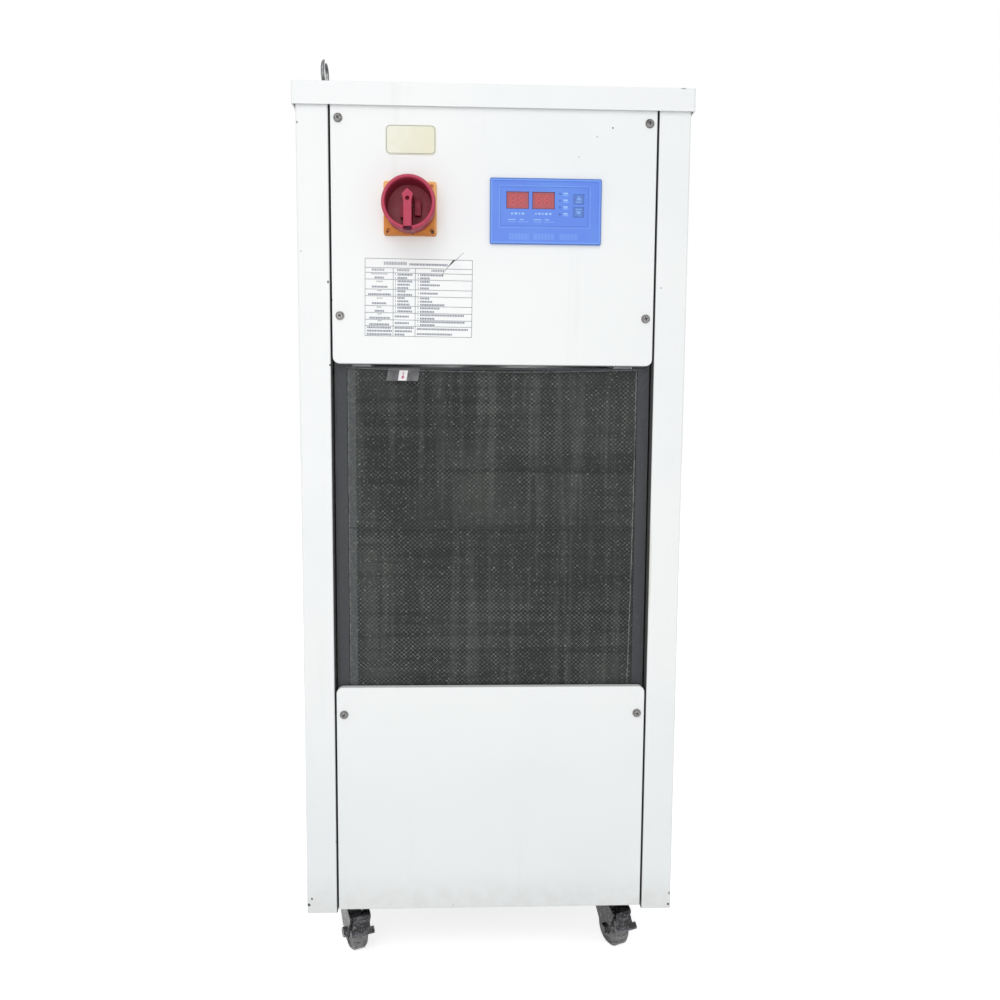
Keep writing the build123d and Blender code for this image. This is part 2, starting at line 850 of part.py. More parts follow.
# Air filter: frame, mesh and film pull tab, standing on the lower deck behind the lower panel's hem
filter_low_z = lower_deck_z + sheet + filter_floor_gap
filter_high_z = opening_high_z - filter_top_gap
mesh_half_width = filter_half_width - filter_bar
mesh_low_z = filter_low_z + filter_bar
mesh_high_z = filter_high_z - filter_top_bar
cross_bar_z = base_z + cross_bar_rise
mesh_back_y = filter_front_y + 2 * mesh_thickness
with BuildPart() as filter_frame:
    with BuildSketch(facing_front(filter_back_y)):
        with Locations((0, (filter_low_z + filter_high_z) / 2)):
            Rectangle(2 * filter_half_width, filter_high_z - filter_low_z)
        with Locations((0, (mesh_low_z + mesh_high_z) / 2)):
            Rectangle(2 * mesh_half_width, mesh_high_z - mesh_low_z, mode=Mode.SUBTRACT)
    extrude(amount=filter_thickness)
    with BuildSketch(facing_front(filter_back_y)):
        with Locations((0, cross_bar_z)):
            Rectangle(2 * mesh_half_width, cross_bar)
    extrude(amount=filter_back_y - mesh_back_y)

with BuildPart() as filter_mesh:
    with BuildSketch(facing_front(mesh_back_y)):
        with Locations((0, (mesh_low_z + mesh_high_z) / 2)):
            Rectangle(2 * mesh_half_width, mesh_high_z - mesh_low_z)
    extrude(amount=mesh_thickness)

tab_top_z = filter_high_z + tab_thickness
with BuildPart() as pull_tab:
    with BuildSketch(Plane((tab_left, 0, 0), x_dir=(0, 1, 0), z_dir=(1, 0, 0))):
        with BuildLine():
            Polyline(
                (filter_front_y - tab_thickness, tab_top_z - tab_drop),
                (filter_front_y, tab_top_z - tab_drop),
                (filter_front_y, filter_high_z),
                (filter_back_y - tab_thickness, filter_high_z),
                (filter_back_y - tab_thickness, tab_top_z),
                (filter_front_y - tab_thickness, tab_top_z),
                close=True,
            )
        make_face()
    extrude(amount=tab_width)

# Condenser: finned block between channel end plates, with the tubes' return bends standing in the channels
coil_low_z = lower_deck_z + sheet + coil_clearance
coil_high_z = upper_deck_z - coil_clearance
fin_count = int((2 * coil_half_width - fin_pitch) / fin_pitch)
tube_z = [coil_low_z + first_tube_rise + row * tube_pitch for row in range(tube_rows)]
with BuildPart() as condenser:
    with BuildSketch(Plane.XY.offset(coil_low_z)):
        with Locations((0, coil_mid_y)):
            Rectangle(2 * coil_half_width, coil_depth)
        with Locations((0, coil_front_y + fin_groove / 2)):
            with GridLocations(fin_pitch, 1, fin_count, 1):
                Rectangle(fin_gap, fin_groove, mode=Mode.SUBTRACT)
    extrude(amount=coil_high_z - coil_low_z)
    for side in (-1, 1):
        with BuildSketch(Plane.XY.offset(lower_deck_z + sheet)):
            with Locations((side * (coil_half_width + sheet / 2), coil_mid_y)):
                Rectangle(sheet, coil_depth)
            with Locations((side * (coil_half_width + web_x) / 2, coil_front_y + sheet / 2)):
                Rectangle(web_x - coil_half_width, sheet)
        extrude(amount=upper_deck_z - lower_deck_z - sheet)
    for row in range(tube_rows - 1):
        side = 1 if row % 2 else -1
        bend_x = side * (coil_half_width + sheet)
        with BuildSketch(Plane((bend_x, coil_mid_y, tube_z[row]), x_dir=(0, 1, 0), z_dir=(1, 0, 0))):
            Circle(tube_radius)
        bend_axis = Axis((bend_x, coil_mid_y, tube_z[row] + tube_pitch / 2), (0, side, 0))
        revolve(axis=bend_axis, revolution_arc=180)
    with BuildSketch(Plane((coil_half_width + sheet, coil_mid_y, 0), x_dir=(0, 1, 0), z_dir=(1, 0, 0))):
        with Locations((0, tube_z[0]), (0, tube_z[-1])):
            Circle(tube_radius)
    extrude(amount=neck_hole_clearance)

# Fan ring: flanged venturi behind the rear panel
fan_axis = Axis((0, 0, fan_z), (0, 1, 0))
ring_inner = fan_radius + fan_tip_gap
ring_front_y = rear_y - fan_ring_depth
with BuildPart() as fan_ring:
    with BuildSketch(Plane((0, 0, fan_z), x_dir=(1, 0, 0), z_dir=(0, 0, 1))):
        with BuildLine():
            Polyline(
                (ring_inner + 3 * fan_ring_sheet, ring_front_y),
                (ring_inner + 4 * fan_ring_sheet, ring_front_y + fan_ring_sheet),
                (ring_inner + fan_ring_sheet, ring_front_y + 5 * fan_ring_sheet),
                (ring_inner + fan_ring_sheet, rear_y - fan_ring_sheet),
                (ring_inner + fan_ring_flange, rear_y - fan_ring_sheet),
                (ring_inner + fan_ring_flange, rear_y),
                (ring_inner, rear_y),
                (ring_inner, ring_front_y + 4 * fan_ring_sheet),
                close=True,
            )
        make_face()
    revolve(axis=fan_axis)

# Fan guard: flat rings on four spokes, whose feet stand on the rear panel
guard_back_y = rear_skin_y + guard_reach - guard_wire
guard_foot_radius = guard_ring_radii[0]
with BuildPart() as fan_guard:
    with BuildSketch(facing_rear(guard_back_y)):
        with Locations((0, fan_z)):
            for ring_radius in guard_ring_radii:
                Circle(ring_radius + guard_wire / 2)
                Circle(ring_radius - guard_wire / 2, mode=Mode.SUBTRACT)
            Circle(guard_centre_radius)
            with PolarLocations(0, guard_spokes, start_angle=45):
                with Locations((guard_foot_radius / 2, 0)):
                    Rectangle(guard_foot_radius, 2 * guard_wire)
    extrude(amount=guard_wire)
    with BuildSketch(facing_rear(rear_skin_y)):
        with Locations((0, fan_z)):
            with PolarLocations(guard_foot_radius, guard_spokes, start_angle=45):
                Circle(2 * guard_wire)
    extrude(amount=guard_reach)

# Fan motor: the fixed inner half of an external-rotor motor, hung from the guard's centre
motor_back_y = guard_back_y
hub_rear_y = motor_back_y - hub_rear_gap
hub_front_y = hub_rear_y - hub_depth
with BuildPart() as fan_motor:
    with BuildSketch(facing_front(motor_back_y)):
        with Locations((0, fan_z)):
            Circle(motor_radius)
    extrude(amount=motor_depth)
    chamfer(faces().sort_by(Axis.Y)[0].edges(), panel_edge * 3)
    with BuildSketch(facing_front(motor_back_y - motor_depth)):
        with Locations((0, fan_z)):
            Circle(fan_shaft_radius)
    extrude(amount=motor_back_y - motor_depth - hub_front_y)

# Fan impeller: hub cup with five twisted blades, trimmed to the ring
blade_middle_y = (hub_front_y + hub_rear_y) / 2
with BuildPart() as blade_form:
    blade_sections = (
        (hub_radius - hub_wall, blade_root_chord, blade_root_pitch),
        ((hub_radius + fan_radius) / 2, (blade_root_chord + blade_tip_chord) / 2,
         (blade_root_pitch + blade_tip_pitch) / 2 - 2),
        (fan_radius + blade_trim, blade_tip_chord, blade_tip_pitch),
    )
    for radius, chord, pitch in blade_sections:
        section_plane = Plane(
            (0, blade_middle_y, fan_z + radius),
            x_dir=(cos(radians(pitch)), sin(radians(pitch)), 0),
            z_dir=(0, 0, 1),
        )
        with BuildSketch(section_plane):
            with BuildLine():
                SagittaArc((-chord / 2, 0), (chord / 2, 0), -chord / 12 - blade_thickness / 2)
                SagittaArc((-chord / 2, 0), (chord / 2, 0), -chord / 12 + blade_thickness / 2)
            make_face()
    loft()
    with Locations(Location((0, blade_middle_y, fan_z), (90, 0, 0))):
        Cylinder(fan_radius, 3 * hub_depth, mode=Mode.INTERSECT)

with BuildPart() as fan_impeller:
    with BuildSketch(facing_front(hub_rear_y)):
        with Locations((0, fan_z)):
            Circle(hub_radius)
    extrude(amount=hub_depth)
    fillet(faces().sort_by(Axis.Y)[0].edges(), hub_wall)
    with BuildSketch(facing_front(hub_rear_y)):
        with Locations((0, fan_z)):
            Circle(hub_radius - hub_wall)
    extrude(amount=hub_depth - hub_wall, mode=Mode.SUBTRACT)
    for blade in range(blade_count):
        add(blade_form.part.rotate(fan_axis, blade * 360 / blade_count))
    with BuildSketch(facing_front(hub_rear_y)):
        with Locations((0, fan_z)):
            Circle(hub_radius - hub_wall)
    extrude(amount=hub_depth - hub_wall, mode=Mode.SUBTRACT)
    with BuildSketch(facing_front(hub_front_y)):
        with Locations((0, fan_z)):
            Circle(fan_shaft_radius + running_clearance)
    extrude(amount=-hub_depth, mode=Mode.SUBTRACT)

# Compressor: drawn can with a weld seam on a foot plate, with suction and discharge stubs and a terminal cover
can_low_z = pan_top + mount_height + foot_sheet
can_high_z = can_low_z + compressor_can
seam_high_z = can_high_z - compressor_seam_drop
compressor_top_z = can_high_z + compressor_dome
dome_radius = (compressor_radius**2 + compressor_dome**2) / (2 * compressor_dome)
suction_z = can_low_z + suction_stub_rise
suction_stub_x = compressor_x + compressor_radius + stub_length
with BuildPart() as compressor:
    with BuildSketch(Plane((compressor_x, compressor_y, 0), x_dir=(1, 0, 0), z_dir=(0, -1, 0))):
        with BuildLine():
            Polyline(
                (0, compressor_top_z),
                (0, can_low_z),
                (compressor_radius - compressor_base_bevel, can_low_z),
                (compressor_radius, can_low_z + compressor_base_bevel),
                (compressor_radius, seam_high_z - compressor_seam_height),
                (compressor_radius + compressor_seam, seam_high_z - compressor_seam_height),
                (compressor_radius + compressor_seam, seam_high_z),
                (compressor_radius, seam_high_z),
                (compressor_radius, can_high_z),
            )
            RadiusArc((compressor_radius, can_high_z), (0, compressor_top_z), -dome_radius)
        make_face()
    revolve(axis=Axis((compressor_x, compressor_y, 0), (0, 0, 1)))
    with BuildSketch(Plane.XY.offset(can_low_z)):
        with Locations((compressor_x, compressor_y)):
            with PolarLocations(foot_radius, foot_count, start_angle=90):
                Circle(mount_radius + foot_land)
        make_hull()
    extrude(amount=-foot_sheet)
    with BuildSketch(Plane((compressor_x, compressor_y, suction_z), x_dir=(0, 1, 0), z_dir=(1, 0, 0))):
        Circle(pipe_radius)
    extrude(amount=compressor_radius + stub_length)
    with BuildSketch(Plane.XY.offset(can_high_z)):
        with Locations((discharge_x, compressor_y)):
            Circle(pipe_radius)
    extrude(amount=compressor_dome + stub_length)
    with BuildSketch(facing_front(compressor_y - compressor_radius + terminal_sink)):
        with Locations((compressor_x, can_low_z + terminal_rise)):
            RectangleRounded(terminal_width, terminal_height, terminal_corner)
    extrude(amount=terminal_depth)

with BuildPart() as compressor_mounts:
    with BuildSketch(Plane.XY.offset(pan_top)):
        with Locations((compressor_x, compressor_y)):
            with PolarLocations(foot_radius, foot_count, start_angle=90):
                Circle(mount_radius)
    extrude(amount=mount_height)
    chamfer(edges().filter_by(GeomType.CIRCLE), panel_edge * 2)


def bends(points, radii):
    """The corners' radii, each kept within its share of the straight runs beside it."""
    runs = [(Vector(*b) - Vector(*a)).length for a, b in zip(points, points[1:])]
    around = [0.0, *radii, 0.0]
    kept = []
    for k, wanted in enumerate(radii):
        before = bend_share * runs[k] * wanted / (wanted + around[k])
        after = bend_share * runs[k + 1] * wanted / (wanted + around[k + 2])
        kept.append(min(wanted, before, after))
    return kept


def pipe(points, radii, radius):
    """A round tube along straight runs with filleted corners."""
    with BuildPart() as run:
        with BuildLine() as route:
            FilletPolyline(*points, radius=bends(points, radii))
        start = Vector(*points[0])
        with BuildSketch(Plane(start, z_dir=Vector(*points[1]) - start)):
            Circle(radius)
        sweep(path=route.wires()[0])
    return run


# Evaporator: brazed plate stack with two refrigerant stubs in front, a water stub in front and one behind
evaporator_low_z = pan_top + evaporator_lift
evaporator_high_z = evaporator_low_z + evaporator_height
evaporator_front_y = evaporator_y - evaporator_depth / 2
evaporator_rear_y = evaporator_y + evaporator_depth / 2
water_in_x = evaporator_x - evaporator_port_inset
gas_x = evaporator_x + evaporator_port_inset
water_in_z = evaporator_low_z + evaporator_port_rise
gas_in_z = evaporator_low_z + evaporator_port_rise
gas_out_z = evaporator_high_z - evaporator_port_rise
with BuildPart() as evaporator:
    with BuildSketch(Plane.XY.offset(evaporator_low_z)):
        with Locations((evaporator_x, evaporator_y)):
            RectangleRounded(evaporator_width, evaporator_depth, evaporator_corner)
    extrude(amount=evaporator_height)
    chamfer(faces().sort_by(Axis.Z)[0].edges(), panel_edge * 2)
    with BuildSketch(facing_front(evaporator_front_y)):
        with Locations((water_in_x, water_in_z)):
            Circle(water_port_radius)
        with Locations((gas_x, gas_in_z), (gas_x, gas_out_z)):
            Circle(pipe_radius)
    extrude(amount=stub_length)
    with BuildSketch(facing_rear(evaporator_rear_y)):
        with Locations((-evaporator_x, port_z)):
            Circle(water_port_radius)
    extrude(amount=stub_length)
    with BuildSketch(Plane.XY.offset(pan_top)):
        with Locations((evaporator_x, evaporator_y)):
            with GridLocations(
                evaporator_width - 2 * evaporator_leg_inset, evaporator_depth - 2 * evaporator_leg_inset, 2, 2
            ):
                Rectangle(evaporator_leg, evaporator_leg)
    extrude(amount=evaporator_lift + panel_edge * 4)

# Refrigerant pipes
stub_y = evaporator_front_y - stub_length
coil_stub_x = coil_half_width + sheet + neck_hole_clearance
drier_top_z = pan_top + drier_top_rise
drier_low_z = drier_top_z - drier_length
discharge_pipe = pipe(
    [
        (discharge_x, compressor_y, can_high_z + compressor_dome + stub_length),
        (discharge_x, compressor_y, tube_z[-1]),
        (liquid_x, compressor_y, tube_z[-1]),
        (liquid_x, coil_mid_y, tube_z[-1]),
        (coil_stub_x, coil_mid_y, tube_z[-1]),
    ],
    [wide_bend, wide_bend, tight_bend],
    pipe_radius,
)
liquid_pipe = pipe(
    [
        (coil_stub_x, coil_mid_y, tube_z[0]),
        (liquid_x, coil_mid_y, tube_z[0]),
        (liquid_x, liquid_y, tube_z[0]),
        (liquid_x, liquid_y, drier_top_z),
    ],
    [tight_bend, liquid_bend],
    pipe_radius,
)
suction_pipe = pipe(
    [
        (gas_x, stub_y, gas_out_z),
        (gas_x, stub_y - suction_setback, gas_out_z),
        (suction_x, stub_y - suction_setback, gas_out_z),
        (suction_x, compressor_y, gas_out_z),
        (suction_x, compressor_y, suction_z),
        (suction_stub_x, compressor_y, suction_z),
    ],
    [suction_bend, suction_bend, suction_bend, liquid_bend],
    pipe_radius,
)

# Filter drier: spun copper bottle with its capillary brazed on
with BuildPart() as filter_drier:
    with BuildSketch(Plane((liquid_x, liquid_y, 0), x_dir=(1, 0, 0), z_dir=(0, -1, 0))):
        with BuildLine():
            Polyline(
                (0, drier_top_z),
                (pipe_radius, drier_top_z),
                (pipe_radius, drier_top_z - drier_neck),
                (drier_radius, drier_top_z - drier_taper),
                (drier_radius, drier_low_z + drier_taper),
                (capillary_radius, drier_low_z + drier_neck),
                (capillary_radius, drier_low_z),
                (0, drier_low_z),
                close=True,
            )
        make_face()
    revolve(axis=Axis((liquid_x, liquid_y, 0), (0, 0, 1)))
    with BuildLine() as capillary:
        FilletPolyline(
            (liquid_x, liquid_y, drier_low_z + capillary_radius),
            (liquid_x, liquid_y, gas_in_z),
            (gas_x, liquid_y, gas_in_z),
            (gas_x, stub_y, gas_in_z),
            radius=capillary_bend,
        )
    with BuildSketch(Plane((liquid_x, liquid_y, drier_low_z + capillary_radius), z_dir=(0, 0, -1))):
        Circle(capillary_radius)
    sweep(path=capillary.wires()[0])

# Water tank: welded box on four feet with a tilted filler neck and three ports
tank_x = (tank_left + tank_right) / 2
tank_y = (tank_front + tank_rear) / 2
tank_size_x = tank_right - tank_left
tank_size_y = tank_rear - tank_front
pump_z = pan_top + pump_rise
port_back_y = tank_rear
with BuildPart() as water_tank:
    with BuildSketch(Plane.XY.offset(tank_base_z)):
        with Locations((tank_x, tank_y)):
            RectangleRounded(tank_size_x, tank_size_y, tank_corner)
    extrude(amount=tank_height)
    with BuildSketch(neck_plane):
        Circle(neck_radius)
    extrude(amount=neck_length)
    with BuildSketch(neck_plane):
        Circle(neck_radius)
    extrude(amount=-neck_radius)
    with BuildSketch(Plane.XY.offset(pan_top)):
        with Locations((tank_x, tank_y)):
            with GridLocations(tank_size_x - 2 * tank_foot_inset, tank_size_y - 2 * tank_foot_inset, 2, 2):
                Circle(mount_radius)
    extrude(amount=tank_lift)
    with BuildSketch(facing_front(tank_front)):
        with Locations((pump_x, pump_z)):
            Circle(water_port_radius)
    extrude(amount=stub_length)
    with BuildSketch(Plane.XY.offset(tank_base_z + tank_sheet)):
        with Locations((tank_x, tank_y)):
            RectangleRounded(
                tank_size_x - 2 * tank_sheet, tank_size_y - 2 * tank_sheet, tank_corner - tank_sheet
            )
    extrude(amount=tank_height - 2 * tank_sheet, mode=Mode.SUBTRACT)
    with BuildSketch(neck_plane):
        Circle(neck_bore)
    extrude(amount=neck_length, mode=Mode.SUBTRACT)
    with BuildSketch(facing_front(tank_front + 2 * tank_sheet)):
        with Locations((pump_x, pump_z)):
            Circle(water_port_bore)
    extrude(amount=2 * stub_length, mode=Mode.SUBTRACT)
    with BuildSketch(facing_rear(tank_rear - 2 * tank_sheet)):
        with Locations((-inlet_x, port_z)):
            Circle(water_port_bore)
        with Locations((-drain_x, drain_z)):
            Circle(drain_bore)
    extrude(amount=4 * tank_sheet, mode=Mode.SUBTRACT)

# Filler cap: screwed cup over the neck's mouth
cap_plane = neck_plane.offset(neck_length + filler_cap_clearance + filler_cap_top)
with BuildPart() as filler_cap:
    with BuildSketch(cap_plane):
        Circle(filler_cap_radius)
        with PolarLocations(filler_cap_radius, filler_cap_grips):
            Circle(filler_cap_grip_radius, mode=Mode.SUBTRACT)
    extrude(amount=-filler_cap_height)
    with BuildSketch(cap_plane.offset(-filler_cap_top)):
        Circle(neck_radius + filler_cap_clearance)
    extrude(amount=-filler_cap_height, mode=Mode.SUBTRACT)

# Pump: volute with its outlet on top, and a finless motor in front of it
volute_rear_y = pump_y + volute_depth / 2
volute_front_y = pump_y - volute_depth / 2
with BuildPart() as pump_volute:
    with BuildSketch(facing_front(volute_rear_y)):
        with Locations((pump_x, pump_z)):
            Circle(volute_radius)
    extrude(amount=volute_depth)
    chamfer(edges().filter_by(GeomType.CIRCLE).sort_by(Axis.Y)[-1], volute_bevel)
    with BuildSketch(facing_rear(volute_rear_y)):
        with Locations((-pump_x, pump_z)):
            Circle(water_port_radius)
    extrude(amount=stub_length)
    with BuildSketch(Plane.XY.offset(pump_z)):
        with Locations((pump_x, pump_y)):
            Circle(water_port_radius)
    extrude(amount=pump_outlet_rise)

with BuildPart() as pump_motor:
    with BuildSketch(facing_front(volute_front_y)):
        with Locations((pump_x, pump_z)):
            Circle(pump_motor_radius)
    extrude(amount=pump_motor_length)
    chamfer(faces().sort_by(Axis.Y)[0].edges(), pump_motor_bevel)
    with BuildSketch(Plane.XY.offset(pan_top)):
        with Locations((pump_x, volute_front_y - pump_motor_length / 2)):
            Rectangle(pump_foot_width, pump_foot_length)
    extrude(amount=pump_rise - pump_motor_radius / 2)

# Hoses: straight runs between stubs, and one that turns over from the pump into the evaporator
with BuildPart() as pump_hose:
    with BuildSketch(facing_rear(volute_rear_y + stub_length)):
        with Locations((-pump_x, pump_z)):
            Circle(hose_radius)
    extrude(amount=tank_front - volute_rear_y - 2 * stub_length)

pump_outlet_z = pump_z + pump_outlet_rise
delivery_hose = pipe(
    [
        (pump_x, pump_y, pump_outlet_z),
        (pump_x, pump_y, pump_outlet_z + hose_rise),
        (water_in_x, pump_y, pump_outlet_z + hose_rise),
        (water_in_x, pump_y, water_in_z),
        (water_in_x, stub_y, water_in_z),
    ],
    [wide_bend, wide_bend, hose_bend],
    hose_radius,
)

with BuildPart() as outlet_hose:
    with BuildSketch(facing_rear(evaporator_rear_y + stub_length)):
        with Locations((-evaporator_x, port_z)):
            Circle(hose_radius)
    extrude(amount=port_back_y - evaporator_rear_y - stub_length)

# Water ports: two bulkhead fittings with a nut each side of the rear panel
port_end_y = rear_y + port_reach
with BuildPart() as water_ports:
    with BuildSketch(facing_rear(port_back_y)):
        with Locations((-evaporator_x, port_z), (-inlet_x, port_z)):
            Circle(water_port_radius)
    extrude(amount=port_end_y - port_back_y)
    with BuildSketch(facing_rear(rear_skin_y)):
        with Locations((-evaporator_x, port_z), (-inlet_x, port_z)):
            RegularPolygon(port_nut_radius, 6)
    extrude(amount=port_nut_thickness)
    with BuildSketch(facing_front(rear_y)):
        with Locations((evaporator_x, port_z), (inlet_x, port_z)):
            RegularPolygon(port_nut_radius, 6)
    extrude(amount=port_nut_thickness)
    with BuildSketch(facing_rear(port_back_y)):
        with Locations((-evaporator_x, port_z), (-inlet_x, port_z)):
            Circle(water_port_bore)
    extrude(amount=port_end_y - port_back_y, mode=Mode.SUBTRACT)

# Drain valve: ball valve on the tank's outlet, with its lever across the body
ball_y = rear_skin_y + drain_ball_radius + drain_ball_gap
lever_low_z = drain_z + drain_ball_radius + lever_gap
with BuildPart() as drain_valve:
    with BuildSketch(facing_rear(tank_rear)):
        with Locations((-drain_x, drain_z)):
            Circle(drain_radius)
    extrude(amount=port_end_y - tank_rear)
    with BuildSketch(facing_rear(ball_y - drain_ball_radius)):
        with Locations((-drain_x, drain_z)):
            RegularPolygon(drain_ball_radius, 8)
    extrude(amount=2 * drain_ball_radius)
    with BuildSketch(facing_rear(tank_rear)):
        with Locations((-drain_x, drain_z)):
            Circle(drain_bore)
    extrude(amount=port_end_y - tank_rear, mode=Mode.SUBTRACT)
    with BuildSketch(Plane.XY.offset(drain_z + drain_radius)):
        with Locations((drain_x, ball_y)):
            Circle(lever_stem_radius)
    extrude(amount=lever_low_z - drain_z - drain_radius + lever_thickness)

with BuildPart() as drain_lever:
    with BuildSketch(Plane.XY.offset(lever_low_z)):
        with Locations((drain_x - lever_length / 2 + lever_width / 2, ball_y)):
            SlotOverall(lever_length, lever_width)
        with Locations((drain_x, ball_y)):
            Circle(lever_stem_radius + running_clearance, mode=Mode.SUBTRACT)
    extrude(amount=lever_thickness)

# Cable gland on the rear panel, empty
gland_start_y = rear_y - gland_tail
gland_end_y = rear_skin_y + gland_length
with BuildPart() as cable_gland:
    with BuildSketch(facing_rear(gland_start_y)):
        with Locations((-gland_x, gland_z)):
            Circle(gland_radius)
    extrude(amount=rear_skin_y + gland_dome_start - gland_start_y)
    with BuildSketch(facing_rear(rear_skin_y)):
        with Locations((-gland_x, gland_z)):
            RegularPolygon(gland_nut_radius, 6)
    extrude(amount=gland_nut)
    with BuildSketch(facing_rear(rear_skin_y + gland_dome_start)):
        with Locations((-gland_x, gland_z)):
            Circle(gland_nut_radius - panel_edge)
    extrude(amount=gland_length - gland_dome_start)
    chamfer(faces().sort_by(Axis.Y)[-1].edges(), gland_bevel)
    with BuildSketch(facing_front(rear_y)):
        with Locations((gland_x, gland_z)):
            RegularPolygon(gland_nut_radius, 6)
    extrude(amount=gland_nut)
    with BuildSketch(facing_rear(gland_start_y)):
        with Locations((-gland_x, gland_z)):
            Circle(gland_bore)
    extrude(amount=2 * (gland_end_y - rear_y), mode=Mode.SUBTRACT)

# Contactors: two stepped blocks on the upper deck
with BuildPart() as contactors:
    with BuildSketch(Plane.XY.offset(upper_deck_z + sheet)):
        with Locations(*[(x, contactor_y) for x in contactor_x]):
            Rectangle(contactor_width, contactor_depth)
    extrude(amount=contactor_step_height)
    with BuildSketch(Plane.XY.offset(upper_deck_z + sheet)):
        with Locations(*[(x, contactor_y) for x in contactor_x]):
            Rectangle(contactor_width, contactor_step_depth)
    extrude(amount=contactor_height)

# Casters: top plate with race and kingpin on the pan, pressed fork with its riveted axle, wheel, and a brake
# pedal on the two front ones
race_low_z = base_z - top_plate_sheet - race_height
crown_top_z = race_low_z - race_gap
crown_low_z = crown_top_z - crown_sheet
pin_head_z = crown_low_z - race_gap - kingpin_head
with BuildPart() as caster_plates:
    with BuildSketch(Plane.XY.offset(base_z)):
        with Locations(*caster_places.values()):
            RectangleRounded(top_plate_size, top_plate_size, top_plate_corner)
    extrude(amount=-top_plate_sheet)
    with BuildSketch(Plane.XY.offset(base_z - top_plate_sheet)):
        with Locations(*caster_places.values()):
            Circle(race_radius)
    extrude(amount=-race_height, taper=-8)
    with BuildSketch(Plane.XY.offset(race_low_z)):
        with Locations(*caster_places.values()):
            Circle(kingpin_radius)
    extrude(amount=-(race_low_z - pin_head_z))
    with BuildSketch(Plane.XY.offset(pin_head_z)):
        with Locations(*caster_places.values()):
            Circle(kingpin_head_radius)
    extrude(amount=kingpin_head)

fork_outer = fork_inner + 2 * fork_sheet
crown_end_x = 0.85 * crown_radius
pedal_x = caster_trail + pedal_reach
pedal_z = wheel_radius + pedal_rise


def side_plane(offset_y):
    """A sketch plane along a caster's trailing direction, with local axes along the trail and up."""
    return Plane((0, offset_y, 0), x_dir=(1, 0, 0), z_dir=(0, -1, 0))


def make_fork(braked):
    """The fork in its own frame: swivel axis at the origin, trailing direction +X."""
    with BuildPart() as fork:
        with BuildSketch(side_plane(fork_outer / 2)):
            with Locations((0, (crown_low_z + crown_top_z) / 2)):
                Rectangle(2 * crown_end_x, crown_sheet)
            with Locations((caster_trail, wheel_radius)):
                Circle(axle_boss)
            if braked:
                with Locations((pedal_x, pedal_z)):
                    Circle(2 * pedal_pin_radius)
            make_hull()
        extrude(amount=fork_outer)
        with BuildSketch(Plane.XY.offset(crown_top_z)):
            Circle(crown_radius)
        extrude(amount=-crown_sheet)
        with BuildSketch(Plane.XY.offset(crown_low_z)):
            Rectangle(6 * crown_radius, fork_inner)
        extrude(amount=-crown_low_z, mode=Mode.SUBTRACT)
        if braked:
            with BuildSketch(side_plane(fork_outer / 2)):
                with BuildLine():
                    Polyline(
                        (crown_end_x - crown_sheet, crown_top_z),
                        (crown_end_x, crown_top_z),
                        (crown_end_x + brow_reach, crown_top_z - brow_drop),
                        (crown_end_x + brow_reach, crown_low_z - brow_drop),
                        (crown_end_x - crown_sheet, crown_low_z),
                        close=True,
                    )
                make_face()
            extrude(amount=fork_outer)
        with BuildSketch(Plane.XY.offset(crown_top_z)):
            Circle(kingpin_radius + running_clearance)
        extrude(amount=-2 * crown_sheet, mode=Mode.SUBTRACT)
        with BuildSketch(side_plane(fork_outer / 2 + axle_nut)):
            with Locations((caster_trail, wheel_radius)):
                RegularPolygon(axle_nut_radius, 6)
        extrude(amount=axle_nut)
        with BuildSketch(side_plane(-fork_outer / 2)):
            with Locations((caster_trail, wheel_radius)):
                RegularPolygon(axle_nut_radius, 6)
        extrude(amount=axle_nut)
        with BuildSketch(side_plane(fork_outer / 2)):
            with Locations((caster_trail, wheel_radius)):
                Circle(axle_radius)
            if braked:
                with Locations((pedal_x, pedal_z)):
                    Circle(pedal_pin_radius)
        extrude(amount=fork_outer)
    return fork


with BuildPart() as wheel_form:
    with BuildSketch(Plane.XY):
        with BuildLine():
            Polyline(
                (axle_radius + running_clearance, -wheel_hub_width / 2),
                (axle_boss, -wheel_hub_width / 2),
                (axle_boss + wheel_dish, wheel_dish - wheel_width / 2),
                (wheel_radius - 2 * tread_round, wheel_dish - wheel_width / 2),
                (wheel_radius - 2 * tread_round + wheel_dish, -wheel_width / 2),
                (wheel_radius - tread_round, -wheel_width / 2),
                (wheel_radius, tread_round - wheel_width / 2),
                (wheel_radius, wheel_width / 2 - tread_round),
                (wheel_radius - tread_round, wheel_width / 2),
                (wheel_radius - 2 * tread_round + wheel_dish, wheel_width / 2),
                (wheel_radius - 2 * tread_round, wheel_width / 2 - wheel_dish),
                (axle_boss + wheel_dish, wheel_width / 2 - wheel_dish),
                (axle_boss, wheel_hub_width / 2),
                (axle_radius + running_clearance, wheel_hub_width / 2),
                close=True,
            )
        make_face()
    revolve(axis=Axis.Y)

